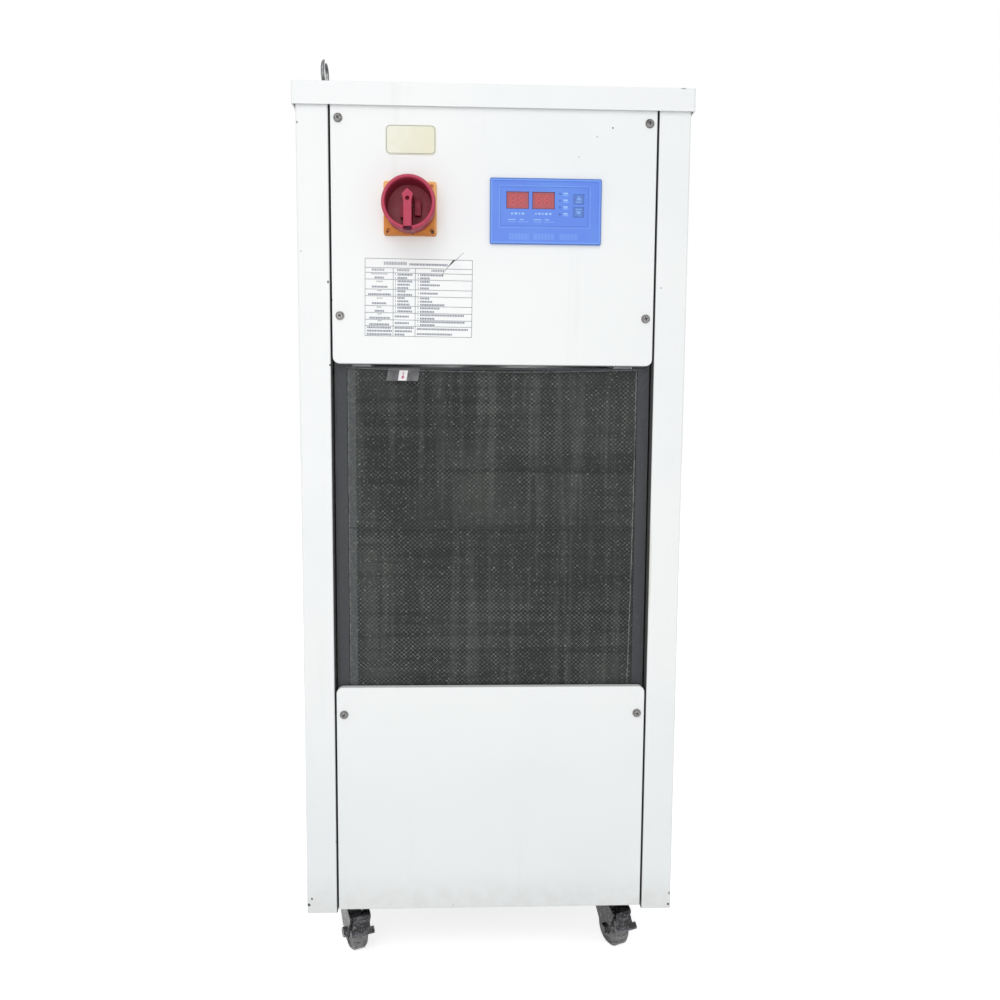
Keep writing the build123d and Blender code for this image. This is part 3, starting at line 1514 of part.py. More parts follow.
# The pedal curves over the wheel's trailing side and flares out into a tread plate
tread_outline = (
    (pedal_x + 14, pedal_z - 9.5),
    (pedal_x + 18, pedal_z - 15),
    (pedal_x + 17, pedal_z - 18),
    (pedal_x + 11.5, pedal_z - 14.5),
)
with BuildPart() as pedal_form:
    with BuildSketch(side_plane(pedal_arm_width / 2)):
        with BuildLine():
            Polyline(
                (pedal_x - 5, pedal_z + 5),
                (pedal_x + 6, pedal_z + 4),
                *tread_outline,
                (pedal_x + 4, pedal_z - 5),
                (pedal_x - 5, pedal_z - 1),
                close=True,
            )
        make_face()
    extrude(amount=pedal_arm_width)
    with BuildSketch(side_plane(pedal_width / 2)):
        with BuildLine():
            Polyline(
                *tread_outline,
                (pedal_x + 10.5, pedal_z - 11),
                close=True,
            )
        make_face()
    extrude(amount=pedal_width)
    with BuildSketch(side_plane(pedal_arm_width / 2)):
        with Locations((pedal_x, pedal_z)):
            Circle(pedal_pin_radius + running_clearance)
    extrude(amount=pedal_arm_width, mode=Mode.SUBTRACT)

swivels = {
    "front_left": -90 + front_swivel,
    "front_right": -90 + front_swivel,
    "rear_left": rear_swivel,
    "rear_right": rear_swivel,
}
braked_fork = make_fork(True)
plain_fork = make_fork(False)
caster_parts = {}
for corner, (x, y) in caster_places.items():
    place = Location((x, y, 0), (0, 0, swivels[corner]))
    front = corner.startswith("front")
    with BuildPart() as fork:
        add((braked_fork if front else plain_fork).part.moved(place))
    with BuildPart() as wheel:
        add(wheel_form.part.moved(Location((caster_trail, 0, wheel_radius))).moved(place))
    caster_parts[corner + "_fork"] = fork
    caster_parts[corner + "_wheel"] = wheel
    if front:
        with BuildPart() as pedal:
            add(pedal_form.part.moved(place))
        caster_parts[corner + "_pedal"] = pedal

pieces = {
    "base_pan": base_pan,
    "left_side_panel": left_side_panel,
    "right_side_panel": right_side_panel,
    "top_cap": top_cap,
    "upper_front_panel": upper_front_panel,
    "lower_front_panel": lower_front_panel,
    "rear_panel": rear_panel,
    "left_upright": left_upright,
    "right_upright": right_upright,
    "lower_deck": lower_deck,
    "upper_deck": upper_deck,
    "panel_screws": panel_screws,
    "lifting_eyes": lifting_eyes,
    "switch_plate": switch_plate,
    "switch_handle": switch_handle,
    "lock_slide": lock_slide,
    "switch_shaft": switch_shaft,
    "switch_body": switch_body,
    "controller_case": controller_case,
    "display_windows": display_windows,
    **key_parts,
    "filter_frame": filter_frame,
    "filter_mesh": filter_mesh,
    "pull_tab": pull_tab,
    "condenser": condenser,
    "fan_ring": fan_ring,
    "fan_guard": fan_guard,
    "fan_motor": fan_motor,
    "fan_impeller": fan_impeller,
    "compressor": compressor,
    "compressor_mounts": compressor_mounts,
    "discharge_pipe": discharge_pipe,
    "liquid_pipe": liquid_pipe,
    "suction_pipe": suction_pipe,
    "filter_drier": filter_drier,
    "evaporator": evaporator,
    "water_tank": water_tank,
    "filler_cap": filler_cap,
    "pump_volute": pump_volute,
    "pump_motor": pump_motor,
    "pump_hose": pump_hose,
    "delivery_hose": delivery_hose,
    "outlet_hose": outlet_hose,
    "water_ports": water_ports,
    "drain_valve": drain_valve,
    "drain_lever": drain_lever,
    "cable_gland": cable_gland,
    "contactors": contactors,
    "caster_plates": caster_plates,
    **caster_parts,
}
for name, piece in pieces.items():
    piece.part.label = name
    export_step(piece.part, f"parts/{name}.step")
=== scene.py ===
"""Looks of a recirculating water chiller: finishes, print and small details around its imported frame."""

import json
import random
from math import cos, hypot, pi, radians, sin

import bmesh
import bpy
from mathutils import Matrix, Vector


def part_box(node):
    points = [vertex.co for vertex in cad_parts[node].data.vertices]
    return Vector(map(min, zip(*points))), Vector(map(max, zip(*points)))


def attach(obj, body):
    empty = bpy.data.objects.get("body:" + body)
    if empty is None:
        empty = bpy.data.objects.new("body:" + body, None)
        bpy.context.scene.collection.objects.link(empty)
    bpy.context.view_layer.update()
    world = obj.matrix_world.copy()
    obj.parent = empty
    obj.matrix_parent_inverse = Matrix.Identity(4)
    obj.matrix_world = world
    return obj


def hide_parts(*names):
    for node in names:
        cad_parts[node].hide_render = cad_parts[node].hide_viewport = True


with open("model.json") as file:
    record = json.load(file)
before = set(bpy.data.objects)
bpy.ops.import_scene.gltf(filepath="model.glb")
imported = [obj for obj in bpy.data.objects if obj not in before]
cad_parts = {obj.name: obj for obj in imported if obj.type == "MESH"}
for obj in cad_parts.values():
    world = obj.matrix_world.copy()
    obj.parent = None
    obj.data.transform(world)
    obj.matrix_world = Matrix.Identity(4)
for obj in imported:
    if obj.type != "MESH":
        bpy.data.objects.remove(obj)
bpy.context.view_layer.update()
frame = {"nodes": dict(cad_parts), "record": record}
nodes = frame["nodes"]
draw = random.Random(7)

IMAGE = 1000
MM = 0.001
WAVE_UNIT = 0.31416  # scale of a wave texture whose bands lie 1 m apart


def linear(red, green, blue):
    """A colour read as 0 to 255 on screen, as the linear values that shaders take."""
    def channel(value):
        value /= 255
        return value / 12.92 if value <= 0.04045 else ((value + 0.055) / 1.055) ** 2.4
    return (channel(red), channel(green), channel(blue), 1.0)


# Camera at the photograph's viewpoint
CAMERA_PLACE = Vector((-0.0342, -1.3908, 0.7315))
CAMERA_LENS = 31.867
CAMERA_SENSOR = 36.0
CAMERA_TILT = radians(5.569)
CAMERA_YAW = radians(2.241)
CAMERA_ROLL = radians(0.387)

camera_data = bpy.data.cameras.new("camera")
camera_data.lens = CAMERA_LENS
camera_data.sensor_width = CAMERA_SENSOR
camera_data.clip_end = 50
camera = bpy.data.objects.new("camera", camera_data)
bpy.context.scene.collection.objects.link(camera)
camera_turn = (
    Matrix.Rotation(-CAMERA_YAW, 4, "Z")
    @ Matrix.Rotation(pi / 2 - CAMERA_TILT, 4, "X")
    @ Matrix.Rotation(CAMERA_ROLL, 4, "Z")
)
camera.matrix_world = Matrix.Translation(CAMERA_PLACE) @ camera_turn
bpy.context.scene.camera = camera
bpy.context.scene.view_settings.view_transform = "Standard"


def front_point(pixel_x, pixel_y, plane_y):
    """The point of the plane at depth plane_y that the photograph shows at a pixel."""
    half = CAMERA_SENSOR / 2 / CAMERA_LENS
    across = (pixel_x - IMAGE / 2) / (IMAGE / 2) * half
    up = (IMAGE / 2 - pixel_y) / (IMAGE / 2) * half
    ray = camera_turn.to_3x3() @ Vector((across, up, -1))
    return CAMERA_PLACE + ray * ((plane_y - CAMERA_PLACE.y) / ray.y)


# Places that the print and the small details line up with
front_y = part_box("left_side_panel")[0].y
plate_low, plate_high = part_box("switch_plate")
handle_low, handle_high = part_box("switch_handle")
switch_x = (plate_low.x + plate_high.x) / 2
switch_z = (plate_low.z + plate_high.z) / 2
case_low, case_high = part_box("controller_case")
window_low, window_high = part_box("display_windows")
face_y = window_low.y
screen_low, screen_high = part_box("filter_mesh")
tab_low, tab_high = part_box("pull_tab")
cap_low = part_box("top_cap")[0]
seam_inner_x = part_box("upper_front_panel")[1].x
seam_outer_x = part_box("right_side_panel")[0].x


class Surface:
    """A material around one Principled shader, whose textures are laid out in metres in the row frame."""

    def __init__(self, name, colour, roughness=0.5, metallic=0.0, **sockets):
        self.material = bpy.data.materials.new(name)
        self.material.use_nodes = True
        self.tree = self.material.node_tree
        self.shader = self.tree.nodes["Principled BSDF"]
        self.shader.inputs["Metallic"].default_value = metallic
        self.shader.inputs["Roughness"].default_value = roughness
        for socket, value in sockets.items():
            self.shader.inputs[socket.replace("_", " ")].default_value = value
        self.roughness = roughness
        self.colour = self.solid(colour)
        self.tree.links.new(self.colour, self.shader.inputs["Base Color"])
        self.place = self.node("ShaderNodeTexCoord").outputs["Object"]
        self.normal = None

    def node(self, kind, **settings):
        made = self.tree.nodes.new(kind)
        for name, value in settings.items():
            setattr(made, name, value)
        return made

    def feed(self, socket, value):
        if isinstance(value, bpy.types.NodeSocket):
            self.tree.links.new(value, socket)
        else:
            socket.default_value = value

    def solid(self, colour):
        made = self.node("ShaderNodeRGB")
        made.outputs[0].default_value = colour
        return made.outputs[0]

    def math(self, operation, first, second=0.0):
        made = self.node("ShaderNodeMath", operation=operation)
        self.feed(made.inputs[0], first)
        self.feed(made.inputs[1], second)
        return made.outputs[0]

    def product(self, first, *others):
        for other in others:
            first = self.math("MULTIPLY", first, other)
        return first

    def axis(self, letter):
        made = self.node("ShaderNodeSeparateXYZ")
        self.feed(made.inputs[0], self.place)
        return made.outputs[letter]

    def stretched(self, scale):
        made = self.node("ShaderNodeMapping")
        self.feed(made.inputs["Vector"], self.place)
        made.inputs["Scale"].default_value = scale
        return made.outputs[0]

    def noise(self, scale, detail=3.0, roughness=0.55, stretch=(1, 1, 1)):
        made = self.node("ShaderNodeTexNoise")
        self.feed(made.inputs["Vector"], self.stretched(stretch))
        made.inputs["Scale"].default_value = scale
        made.inputs["Detail"].default_value = detail
        made.inputs["Roughness"].default_value = roughness
        return made.outputs["Fac"]

    def cells(self, scale, output="Distance", stretch=(1, 1, 1)):
        made = self.node("ShaderNodeTexVoronoi")
        self.feed(made.inputs["Vector"], self.stretched(stretch))
        made.inputs["Scale"].default_value = scale
        return made.outputs[output]

    def wave(self, direction, pitch, distortion=0.0):
        made = self.node("ShaderNodeTexWave", bands_direction=direction)
        self.feed(made.inputs["Vector"], self.place)
        made.inputs["Scale"].default_value = WAVE_UNIT / pitch
        made.inputs["Distortion"].default_value = distortion
        return made.outputs["Fac"]

    def between(self, value, low, high, to_low=0.0, to_high=1.0):
        made = self.node("ShaderNodeMapRange", interpolation_type="SMOOTHSTEP")
        self.feed(made.inputs["Value"], value)
        made.inputs["From Min"].default_value = low
        made.inputs["From Max"].default_value = high
        made.inputs["To Min"].default_value = to_low
        made.inputs["To Max"].default_value = to_high
        return made.outputs["Result"]

    def tint(self, mask, colour):
        made = self.node("ShaderNodeMix", data_type="RGBA")
        self.feed(made.inputs["Factor"], mask)
        self.feed(made.inputs["A"], self.colour)
        self.feed(made.inputs["B"], colour)
        self.colour = made.outputs["Result"]
        self.tree.links.new(self.colour, self.shader.inputs["Base Color"])

    def patches(self, noise, low, high, share, colour):
        """Tints by up to a share where a noise rises from low to high."""
        self.tint(self.between(self.noise(*noise), low, high, 0, share), colour)

    def gloss(self, value, spread):
        """Roughness that follows a value from 0 to 1, that far below and above its level."""
        result = self.between(value, 0.25, 0.75, self.roughness - spread, self.roughness + spread)
        self.tree.links.new(result, self.shader.inputs["Roughness"])

    def bump(self, height, distance, strength=1.0):
        made = self.node("ShaderNodeBump")
        made.inputs["Distance"].default_value = distance
        made.inputs["Strength"].default_value = strength
        self.feed(made.inputs["Height"], height)
        if self.normal:
            self.tree.links.new(self.normal, made.inputs["Normal"])
        self.normal = made.outputs["Normal"]
        self.tree.links.new(self.normal, self.shader.inputs["Normal"])

    def spot(self, centre, radius, squeeze=(1, 1, 1)):
        """A mask that is 1 near a point and fades out, with a ragged edge, by its radius."""
        away = self.node("ShaderNodeVectorMath", operation="SUBTRACT")
        self.feed(away.inputs[0], self.place)
        away.inputs[1].default_value = centre
        scaled = self.node("ShaderNodeVectorMath", operation="MULTIPLY")
        self.feed(scaled.inputs[0], away.outputs[0])
        scaled.inputs[1].default_value = squeeze
        distance = self.node("ShaderNodeVectorMath", operation="LENGTH")
        self.feed(distance.inputs[0], scaled.outputs[0])
        ragged = self.product(self.noise(900, 2), radius)
        return self.between(self.math("ADD", distance.outputs["Value"], ragged), radius * 1.5, radius)


# White powder coat, with the chips, specks and painted shade streaks where the photograph shows them
CHIPS = {  # photograph's pixel: (radius in mm, how far it is stretched upwards)
    (309, 905): (3.2, 1.0),
    (312, 899): (1.8, 1.6),
    (668, 904): (2.6, 1.0),
    (669, 893): (1.4, 2.2),
    (297, 122): (1.4, 1.6),
    (328, 282): (1.8, 1.6),
    (330, 365): (1.6, 1.4),
    (332, 300): (1.0, 2.4),
    (301, 251): (1.0, 1.0),
    (661, 288): (1.2, 1.0),
    (613, 128): (1.6, 1.0),
    (597, 137): (1.1, 1.0),
    (579, 157): (0.9, 1.0),
    (336, 842): (1.1, 1.0),
    (396, 686): (1.2, 1.0),
    (453, 905): (1.0, 1.0),
    (377, 96): (0.8, 1.0),
    (673, 806): (0.9, 1.0),
}
BEND_SHADE_PIXELS = {(650, 566): 76, (647, 632): 26}  # photograph's pixel: half its length in mm
CHIP_SIZE = 0.8  # of the radius given
BEND_SHADE_RADIUS = 2.4
CAP_DENT_PIXEL = (684, 88)
CAP_DENT_RADIUS = 2.2 * MM
CAP_DENT_DEPTH = 0.6 * MM
SEAM_FADE = (0.5 * MM, 1.5 * MM)  # how far past the gap its painted shade fades out
SEAM_DEPTH = (0.3 * MM, 1.2 * MM, 40 * MM, 50 * MM)  # from the front: where the painted shade starts and ends
SEAM_TOP = 3 * MM


def white_paint():
    made = Surface("white_powder_coat", linear(243, 245, 245), 0.42, Coat_Weight=0.12, Coat_Roughness=0.3)
    made.patches((3.2, 3), 0.42, 0.75, 0.5, linear(233, 237, 239))
    # Painted shade: the paint turns greyer towards the bottom of the cabinet
    low = made.between(made.axis("Z"), 0.45, 0.1, 0, 0.3)
    made.tint(low, linear(229, 235, 238))
    made.patches((26, 4, 0.6, (1, 1, 0.06)), 0.6, 0.82, 0.16, linear(196, 198, 194))
    dust = made.product(made.between(made.axis("Z"), 0.14, 0.078), made.noise(60, 4))
    made.tint(made.product(dust, 0.4), linear(176, 172, 160))
    grit = made.cells(46)
    gate = made.between(made.cells(46, "Color"), 0.93, 0.96)
    made.tint(made.product(made.between(grit, 0.05, 0.03), gate), linear(70, 68, 64))
    for (pixel_x, pixel_y), (radius, stretch) in CHIPS.items():
        centre = front_point(pixel_x, pixel_y, front_y)
        mask = made.spot(centre, radius * MM * CHIP_SIZE, (1, 0.2, 1 / stretch))
        made.tint(mask, linear(52, 48, 45))
    # Painted shade: a soft beige streak along the right post's inner bend
    for (pixel_x, pixel_y), half_length in BEND_SHADE_PIXELS.items():
        centre = front_point(pixel_x, pixel_y, front_y)
        mask = made.spot(centre, BEND_SHADE_RADIUS * MM, (1, 0.3, BEND_SHADE_RADIUS / half_length))
        made.tint(made.product(mask, 0.42), linear(198, 194, 172))
    # Painted shade in the gaps between the front panels and the side panels, below the cap
    across = made.math("ABSOLUTE", made.axis("X"))
    near, far = SEAM_FADE
    start, full, fading, end = (front_y + depth for depth in SEAM_DEPTH)
    seam_shade = made.product(
        made.between(across, seam_inner_x - far, seam_inner_x - near),
        made.between(across, seam_outer_x + far, seam_outer_x + near),
        made.between(made.axis("Z"), cap_low.z + SEAM_TOP + MM, cap_low.z + SEAM_TOP),
        made.between(made.axis("Y"), start, full),
        made.between(made.axis("Y"), end, fading),
        0.9,
    )
    made.tint(seam_shade, linear(46, 46, 46))
    dent = made.spot(front_point(*CAP_DENT_PIXEL, cap_low.y), CAP_DENT_RADIUS, (0.5, 0.2, 1.4))
    made.tint(made.product(dent, 0.8), linear(96, 94, 90))
    made.bump(dent, -CAP_DENT_DEPTH)
    made.gloss(made.noise(14, 3), 0.06)
    made.bump(made.noise(900, 2), 0.00004, 0.5)
    return made


def frame_paint():
    # Mid grey as painted shade, so that the gaps and seams where the frame shows read dark
    made = Surface("frame_grey_seam_shade", linear(92, 94, 96), 0.5)
    made.patches((40, 4), 0.5, 0.8, 0.4, linear(84, 84, 82))
    made.gloss(made.noise(30, 3), 0.08)
    made.bump(made.noise(700, 2), 0.00004, 0.5)
    return made


def galvanised():
    made = Surface("galvanised_sheet", linear(188, 192, 195), 0.38, 0.9)
    spangle = made.cells(90, "Color")
    made.tint(made.between(spangle, 0.2, 0.9, 0, 0.4), linear(150, 156, 162))
    made.gloss(made.noise(60, 2), 0.1)
    made.bump(made.noise(400, 2), 0.00003, 0.5)
    return made


def turned_metal(name, colour, roughness, dull, fine=0.00003):
    """A bare metal with faint tool lines and duller patches."""
    made = Surface(name, colour, roughness, 1.0)
    made.patches((120, 4), 0.45, 0.8, 0.6, dull)
    made.gloss(made.noise(180, 3), 0.1)
    made.bump(made.noise(1500, 2, 0.5, (1, 1, 4)), fine, 0.6)
    return made


def moulded(name, colour, roughness, faded, grain=0.00005, **sockets):
    """A moulded plastic with a fine grain, faded and dusty in patches."""
    made = Surface(name, colour, roughness, **sockets)
    made.patches((45, 4), 0.5, 0.85, 0.6, faded)
    made.gloss(made.noise(70, 3), 0.08)
    made.bump(made.noise(1100, 2), grain, 0.6)
    return made


def switch_red():
    """Crimson knob: brighter at its front edges, with painted shade down in the cup and in the notch under its
    bar, and dusty on the cup's floor.
    """
    made = Surface("crimson_plastic", linear(184, 62, 88), 0.5, Specular_IOR_Level=0.3)
    cup_floor = handle_high.y - 3.5 * MM
    # Painted shade, darker the deeper in the cup
    cup_shade = made.between(made.axis("Y"), handle_low.y + 1.2 * MM, handle_low.y + 9 * MM)
    made.tint(made.product(cup_shade, 0.8), linear(136, 32, 54))
    made.patches((220, 4), 0.52, 0.78, 0.3, linear(196, 108, 124))
    on_floor = made.between(made.axis("Y"), cup_floor - 5 * MM, cup_floor)
    left_side = made.between(made.axis("X"), switch_x + 4 * MM, switch_x - 12 * MM, 0.35, 0.95)
    made.tint(made.product(on_floor, made.noise(500, 3), left_side), linear(176, 100, 106))
    # Painted shade in the notch below the bar
    notch_shade = made.spot((switch_x - 1 * MM, handle_low.y + 8 * MM, handle_low.z + 4 * MM), 6 * MM, (1, 0.3, 1))
    behind_rim = made.between(made.axis("Y"), handle_low.y + 1.5 * MM, handle_low.y + 3 * MM)
    made.tint(made.product(notch_shade, behind_rim, 0.85), linear(70, 30, 54))
    made.gloss(made.noise(150, 3), 0.1)
    made.bump(made.noise(1300, 2), 0.00005, 0.6)
    return made


def switch_yellow():
    made = Surface("amber_plastic", linear(222, 142, 56), 0.45)
    # Painted highlight: lighter towards the top and towards the right edge
    made.tint(made.between(made.axis("Z"), switch_z - 12 * MM, plate_high.z, 0, 0.85), linear(250, 192, 118))
    made.tint(made.between(made.axis("X"), plate_high.x - 5 * MM, plate_high.x, 0, 0.5), linear(250, 196, 130))
    made.patches((70, 4), 0.45, 0.75, 0.5, linear(208, 122, 40))
    # Painted shade along the lower edge
    lower_edge_shade = made.between(made.axis("Z"), plate_low.z + 0.004, plate_low.z + 0.0005)
    made.tint(made.product(lower_edge_shade, 0.5), linear(168, 92, 34))
    specks = made.between(made.noise(800, 2), 0.66, 0.72)
    made.tint(made.product(specks, 0.35), linear(120, 74, 40))
    made.bump(made.noise(1200, 2), 0.00005, 0.6)
    return made


def controller_blue():
    made = Surface("blue_face", linear(86, 130, 230), 0.4, Coat_Weight=0.2, Coat_Roughness=0.25)
    made.patches((18, 3), 0.4, 0.7, 0.5, linear(94, 146, 232))
    # Painted highlight on the raised rim in front of the face
    rim = made.between(made.axis("Y"), face_y - 0.0003, face_y - 0.0007)
    made.tint(made.product(rim, 0.55), linear(120, 170, 250))
    for letter, outer in (("X", case_low.x), ("X", case_high.x), ("Z", case_low.z), ("Z", case_high.z)):
        away = made.math("ABSOLUTE", made.math("SUBTRACT", made.axis(letter), outer))
        made.tint(made.between(away, 0.0014, 0.001), linear(60, 106, 186))
    back = made.between(made.axis("Y"), front_y + 0.0002, front_y + 0.002)
    made.tint(back, linear(52, 54, 58))
    made.gloss(made.noise(60, 2), 0.05)
    made.bump(made.noise(900, 2), 0.00003, 0.5)
    return made


def display_red():
    made = Surface("smoked_red_window", linear(168, 36, 48), 0.22, Coat_Weight=0.5, Coat_Roughness=0.08)
    made.patches((160, 3), 0.4, 0.75, 0.5, linear(136, 24, 36))
    made.bump(made.noise(600, 2), 0.00002, 0.4)
    return made


def key_blue():
    made = Surface("blue_keycap", linear(70, 112, 196), 0.36, Coat_Weight=0.2)
    made.patches((240, 3), 0.4, 0.7, 0.5, linear(92, 140, 222))
    made.bump(made.noise(1400, 2), 0.00003, 0.5)
    return made


def filter_dark():
    """Dark vinyl edging, dusty, with a faint vertical weave."""
    made = Surface("filter_edging", linear(46, 48, 53), 0.6)
    made.patches((12, 4, 0.6, (1, 1, 0.3)), 0.4, 0.75, 0.5, linear(58, 61, 63))
    made.patches((300, 3), 0.55, 0.8, 0.35, linear(92, 94, 93))
    made.bump(made.wave("X", 0.0011, 0.4), 0.00006, 0.5)
    made.bump(made.noise(120, 3, 0.5, (1, 1, 0.15)), 0.0006, 0.6)
    return made


def filter_cloth():
    """The dark cloth behind the net, banded by its knit and clouded with dust."""
    made = Surface("filter_cloth", linear(38, 40, 40), 0.9)
    made.patches((7, 4, 0.6), 0.42, 0.68, 0.8, linear(62, 65, 62))
    made.patches((110, 2, 0.5, (1, 1, 0.035)), 0.46, 0.66, 0.6, linear(76, 79, 77))
    made.patches((80, 2, 0.5, (0.035, 1, 1)), 0.5, 0.7, 0.55, linear(24, 25, 26))
    made.bump(made.wave("Z", 0.0013, 1.0), 0.00015, 0.6)
    return made


def net_nylon():
    """Grey nylon of the filter's net, lighter where dust has caught on it."""
    made = Surface("net_nylon", linear(72, 75, 74), 0.7)
    made.patches((9, 4, 0.6), 0.4, 0.66, 0.6, linear(112, 115, 112))
    made.patches((120, 2, 0.5, (1, 1, 0.04)), 0.5, 0.68, 0.6, linear(122, 125, 122))
    made.patches((90, 2, 0.5, (0.04, 1, 1)), 0.46, 0.66, 0.7, linear(36, 38, 39))
    made.patches((420, 2), 0.56, 0.68, 0.75, linear(158, 160, 154))
    return made


def film():
    made = Surface("grey_film", linear(80, 80, 85), 0.34, Coat_Weight=0.25, Coat_Roughness=0.2)
    made.patches((110, 4), 0.42, 0.62, 0.9, linear(46, 46, 51))
    made.patches((150, 3, 0.6, (1, 1, 3)), 0.6, 0.72, 0.6, linear(140, 140, 146))
    made.bump(made.noise(90, 3), 0.0004, 0.6)
    return made


def fins():
    made = Surface("fin_aluminium", linear(182, 185, 188), 0.35, 1.0)
    made.patches((30, 4), 0.45, 0.75, 0.6, linear(120, 118, 112))
    made.bump(made.wave("X", 0.0017), 0.0004, 0.8)
    return made


def caster_black():
    made = Surface("caster_enamel", linear(30, 30, 33), 0.34, 0.25, Coat_Weight=0.25, Coat_Roughness=0.2)
    # Painted highlight: lighter grey bands across the enamel
    made.patches((70, 4, 0.6, (1, 1, 2.6)), 0.5, 0.66, 0.75, linear(98, 98, 106))
    scuffs = made.between(made.noise(420, 3), 0.56, 0.68)
    made.tint(made.product(scuffs, 0.7), linear(156, 154, 154))
    made.gloss(made.noise(160, 3), 0.12)
    made.bump(made.noise(260, 3), 0.00035, 0.5)
    return made


def wheel_grey():
    made = Surface("wheel_nylon", linear(122, 122, 122), 0.5)
    made.patches((90, 4, 0.6, (1, 1, 2)), 0.46, 0.62, 0.8, linear(58, 58, 61))
    # Painted highlight: light grey spots on the wheel
    made.patches((380, 3), 0.58, 0.7, 0.7, linear(184, 184, 182))
    made.bump(made.noise(500, 3), 0.0002, 0.5)
    return made


finishes = {
    "white_paint": white_paint(),
    "frame_paint": frame_paint(),
    "galvanised": galvanised(),
    "screw_steel": turned_metal("zinc_plate", linear(132, 131, 130), 0.3, linear(64, 62, 61)),
    "eye_steel": turned_metal("bright_zinc", linear(128, 129, 130), 0.24, linear(84, 84, 84)),
    "switch_yellow": switch_yellow(),
    "switch_red": switch_red(),
    "black_plastic": moulded("black_plastic", linear(38, 39, 41), 0.48, linear(66, 67, 68)),
    "controller_blue": controller_blue(),
    "display_red": display_red(),
    "key_blue": key_blue(),
    "filter_dark": filter_dark(),
    "filter_mesh": filter_cloth(),
    "film": film(),
    "coil_aluminium": fins(),
    "copper": turned_metal("copper_tube", linear(198, 124, 88), 0.3, linear(122, 74, 54)),
    "brass": turned_metal("turned_brass", linear(206, 172, 98), 0.28, linear(142, 116, 66)),
    "stainless": turned_metal("brushed_stainless", linear(190, 192, 194), 0.3, linear(150, 152, 154)),
    "compressor_black": moulded("black_enamel", linear(28, 28, 30), 0.3, linear(52, 52, 54), Coat_Weight=0.3),
    "motor_paint": moulded("motor_enamel", linear(92, 108, 124), 0.45, linear(116, 124, 130)),
    "rubber": moulded("black_rubber", linear(30, 30, 30), 0.8, linear(56, 55, 52), 0.0001),
    "hose": moulded("hose_rubber", linear(34, 34, 36), 0.7, linear(62, 61, 58), 0.0001),
    "cream_plastic": moulded("cream_plastic", linear(222, 218, 202), 0.5, linear(196, 190, 168)),
    "caster_black": caster_black(),
    "wheel_grey": wheel_grey(),
}
slot_of = {part["node"]: part["material_slot"] for part in frame["record"]["subparts"]}
for name, node in nodes.items():
    node.data.materials.clear()
    node.data.materials.append(finishes[slot_of[name]].material)


def plain_finish(name, colour, roughness=0.5, varied=None, metallic=0.0):
    """A finish for print and small details, broken up a little by noise."""
    made = Surface(name, colour, roughness, metallic)
    darker = tuple(channel * 0.8 for channel in colour[:3]) + (1,)
    made.patches((340, 3), 0.4, 0.75, 0.5, varied or darker)
    return made.material


def mesh_of(name, shape, smooth_sides=False):
    mesh = bpy.data.meshes.new(name)
    bmesh.ops.recalc_face_normals(shape, faces=shape.faces)
    shape.to_mesh(mesh)
    shape.free()
    for polygon in mesh.polygons:
        polygon.use_smooth = smooth_sides and len(polygon.vertices) == 4
    return mesh


def add_piece(name, shape, material, body, smooth_sides=False):
    """Links a shape as a piece that rides on a body, with the finish given."""
    mesh = mesh_of(name, shape, smooth_sides)
    piece = bpy.data.objects.new(name, mesh)
    bpy.context.scene.collection.objects.link(piece)
    mesh.materials.append(material)
    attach(piece, body)
    return piece


def rectangle(left, low, right, high):
    return [(left, low), (right, low), (right, high), (left, high)]


def rounded(left, low, right, high, radius, steps=6):
    """The outline of a rectangle with round corners."""
    points = []
    corners = ((right - radius, high - radius), (left + radius, high - radius),
               (left + radius, low + radius), (right - radius, low + radius))
    for quarter, (x, z) in enumerate(corners):
        for step in range(steps + 1):
            turn = (quarter + step / steps) * pi / 2
            points.append((x + radius * cos(turn), z + radius * sin(turn)))
    return points


def disc(x, z, radius, steps=24):
    return [(x + radius * cos(2 * pi * k / steps), z + radius * sin(2 * pi * k / steps)) for k in range(steps)]


def wall(shape, first, second):
    """Faces all round between two closed lines with as many points."""
    for k in range(len(first)):
        n = (k + 1) % len(first)
        shape.faces.new((first[k], first[n], second[n], second[k]))


def plates(outlines, back_y, thickness, turn=0.0, centre=(0, 0)):
    """Thin plates on the outlines (x, z), standing forward of back_y, turned clockwise about a centre."""
    shape = bmesh.new()
    x0, z0 = centre
    for outline in outlines:
        corners = []
        for x, z in outline:
            dx, dz = x - x0, z - z0
            corners.append((x0 + dx * cos(turn) + dz * sin(turn), z0 - dx * sin(turn) + dz * cos(turn)))
        front = [shape.verts.new((x, back_y - thickness, z)) for x, z in corners]
        back = [shape.verts.new((x, back_y, z)) for x, z in corners]
        shape.faces.new(front)
        shape.faces.new(back[::-1])
        wall(shape, back, front)
    return shape


# Print on the controller's face, as plain bars, frames and seven-segment figures
PRINT = 0.06 * MM
left_x = case_low.x
top_z = case_high.z


def on_face(x, z, width, height):
    """A rectangle given in mm from the face's top left corner."""
    return rectangle(left_x + x * MM, top_z - (z + height) * MM, left_x + (x + width) * MM, top_z - z * MM)


def box_lines(x, z, width, height, line):
    """Four bars that frame a rectangle."""
    return [
        on_face(x, z, width, line),
        on_face(x, z + height - line, width, line),
        on_face(x, z + line, line, height - 2 * line),
        on_face(x + width - line, z + line, line, height - 2 * line),
    ]


pale_blue = plain_finish("pale_blue_print", linear(126, 172, 244), 0.45, linear(108, 154, 240))
deep_blue = plain_finish("deep_blue_print", linear(62, 102, 190), 0.45, linear(70, 112, 202))
print_white = plain_finish("white_print", linear(164, 200, 248), 0.45, linear(132, 176, 244))

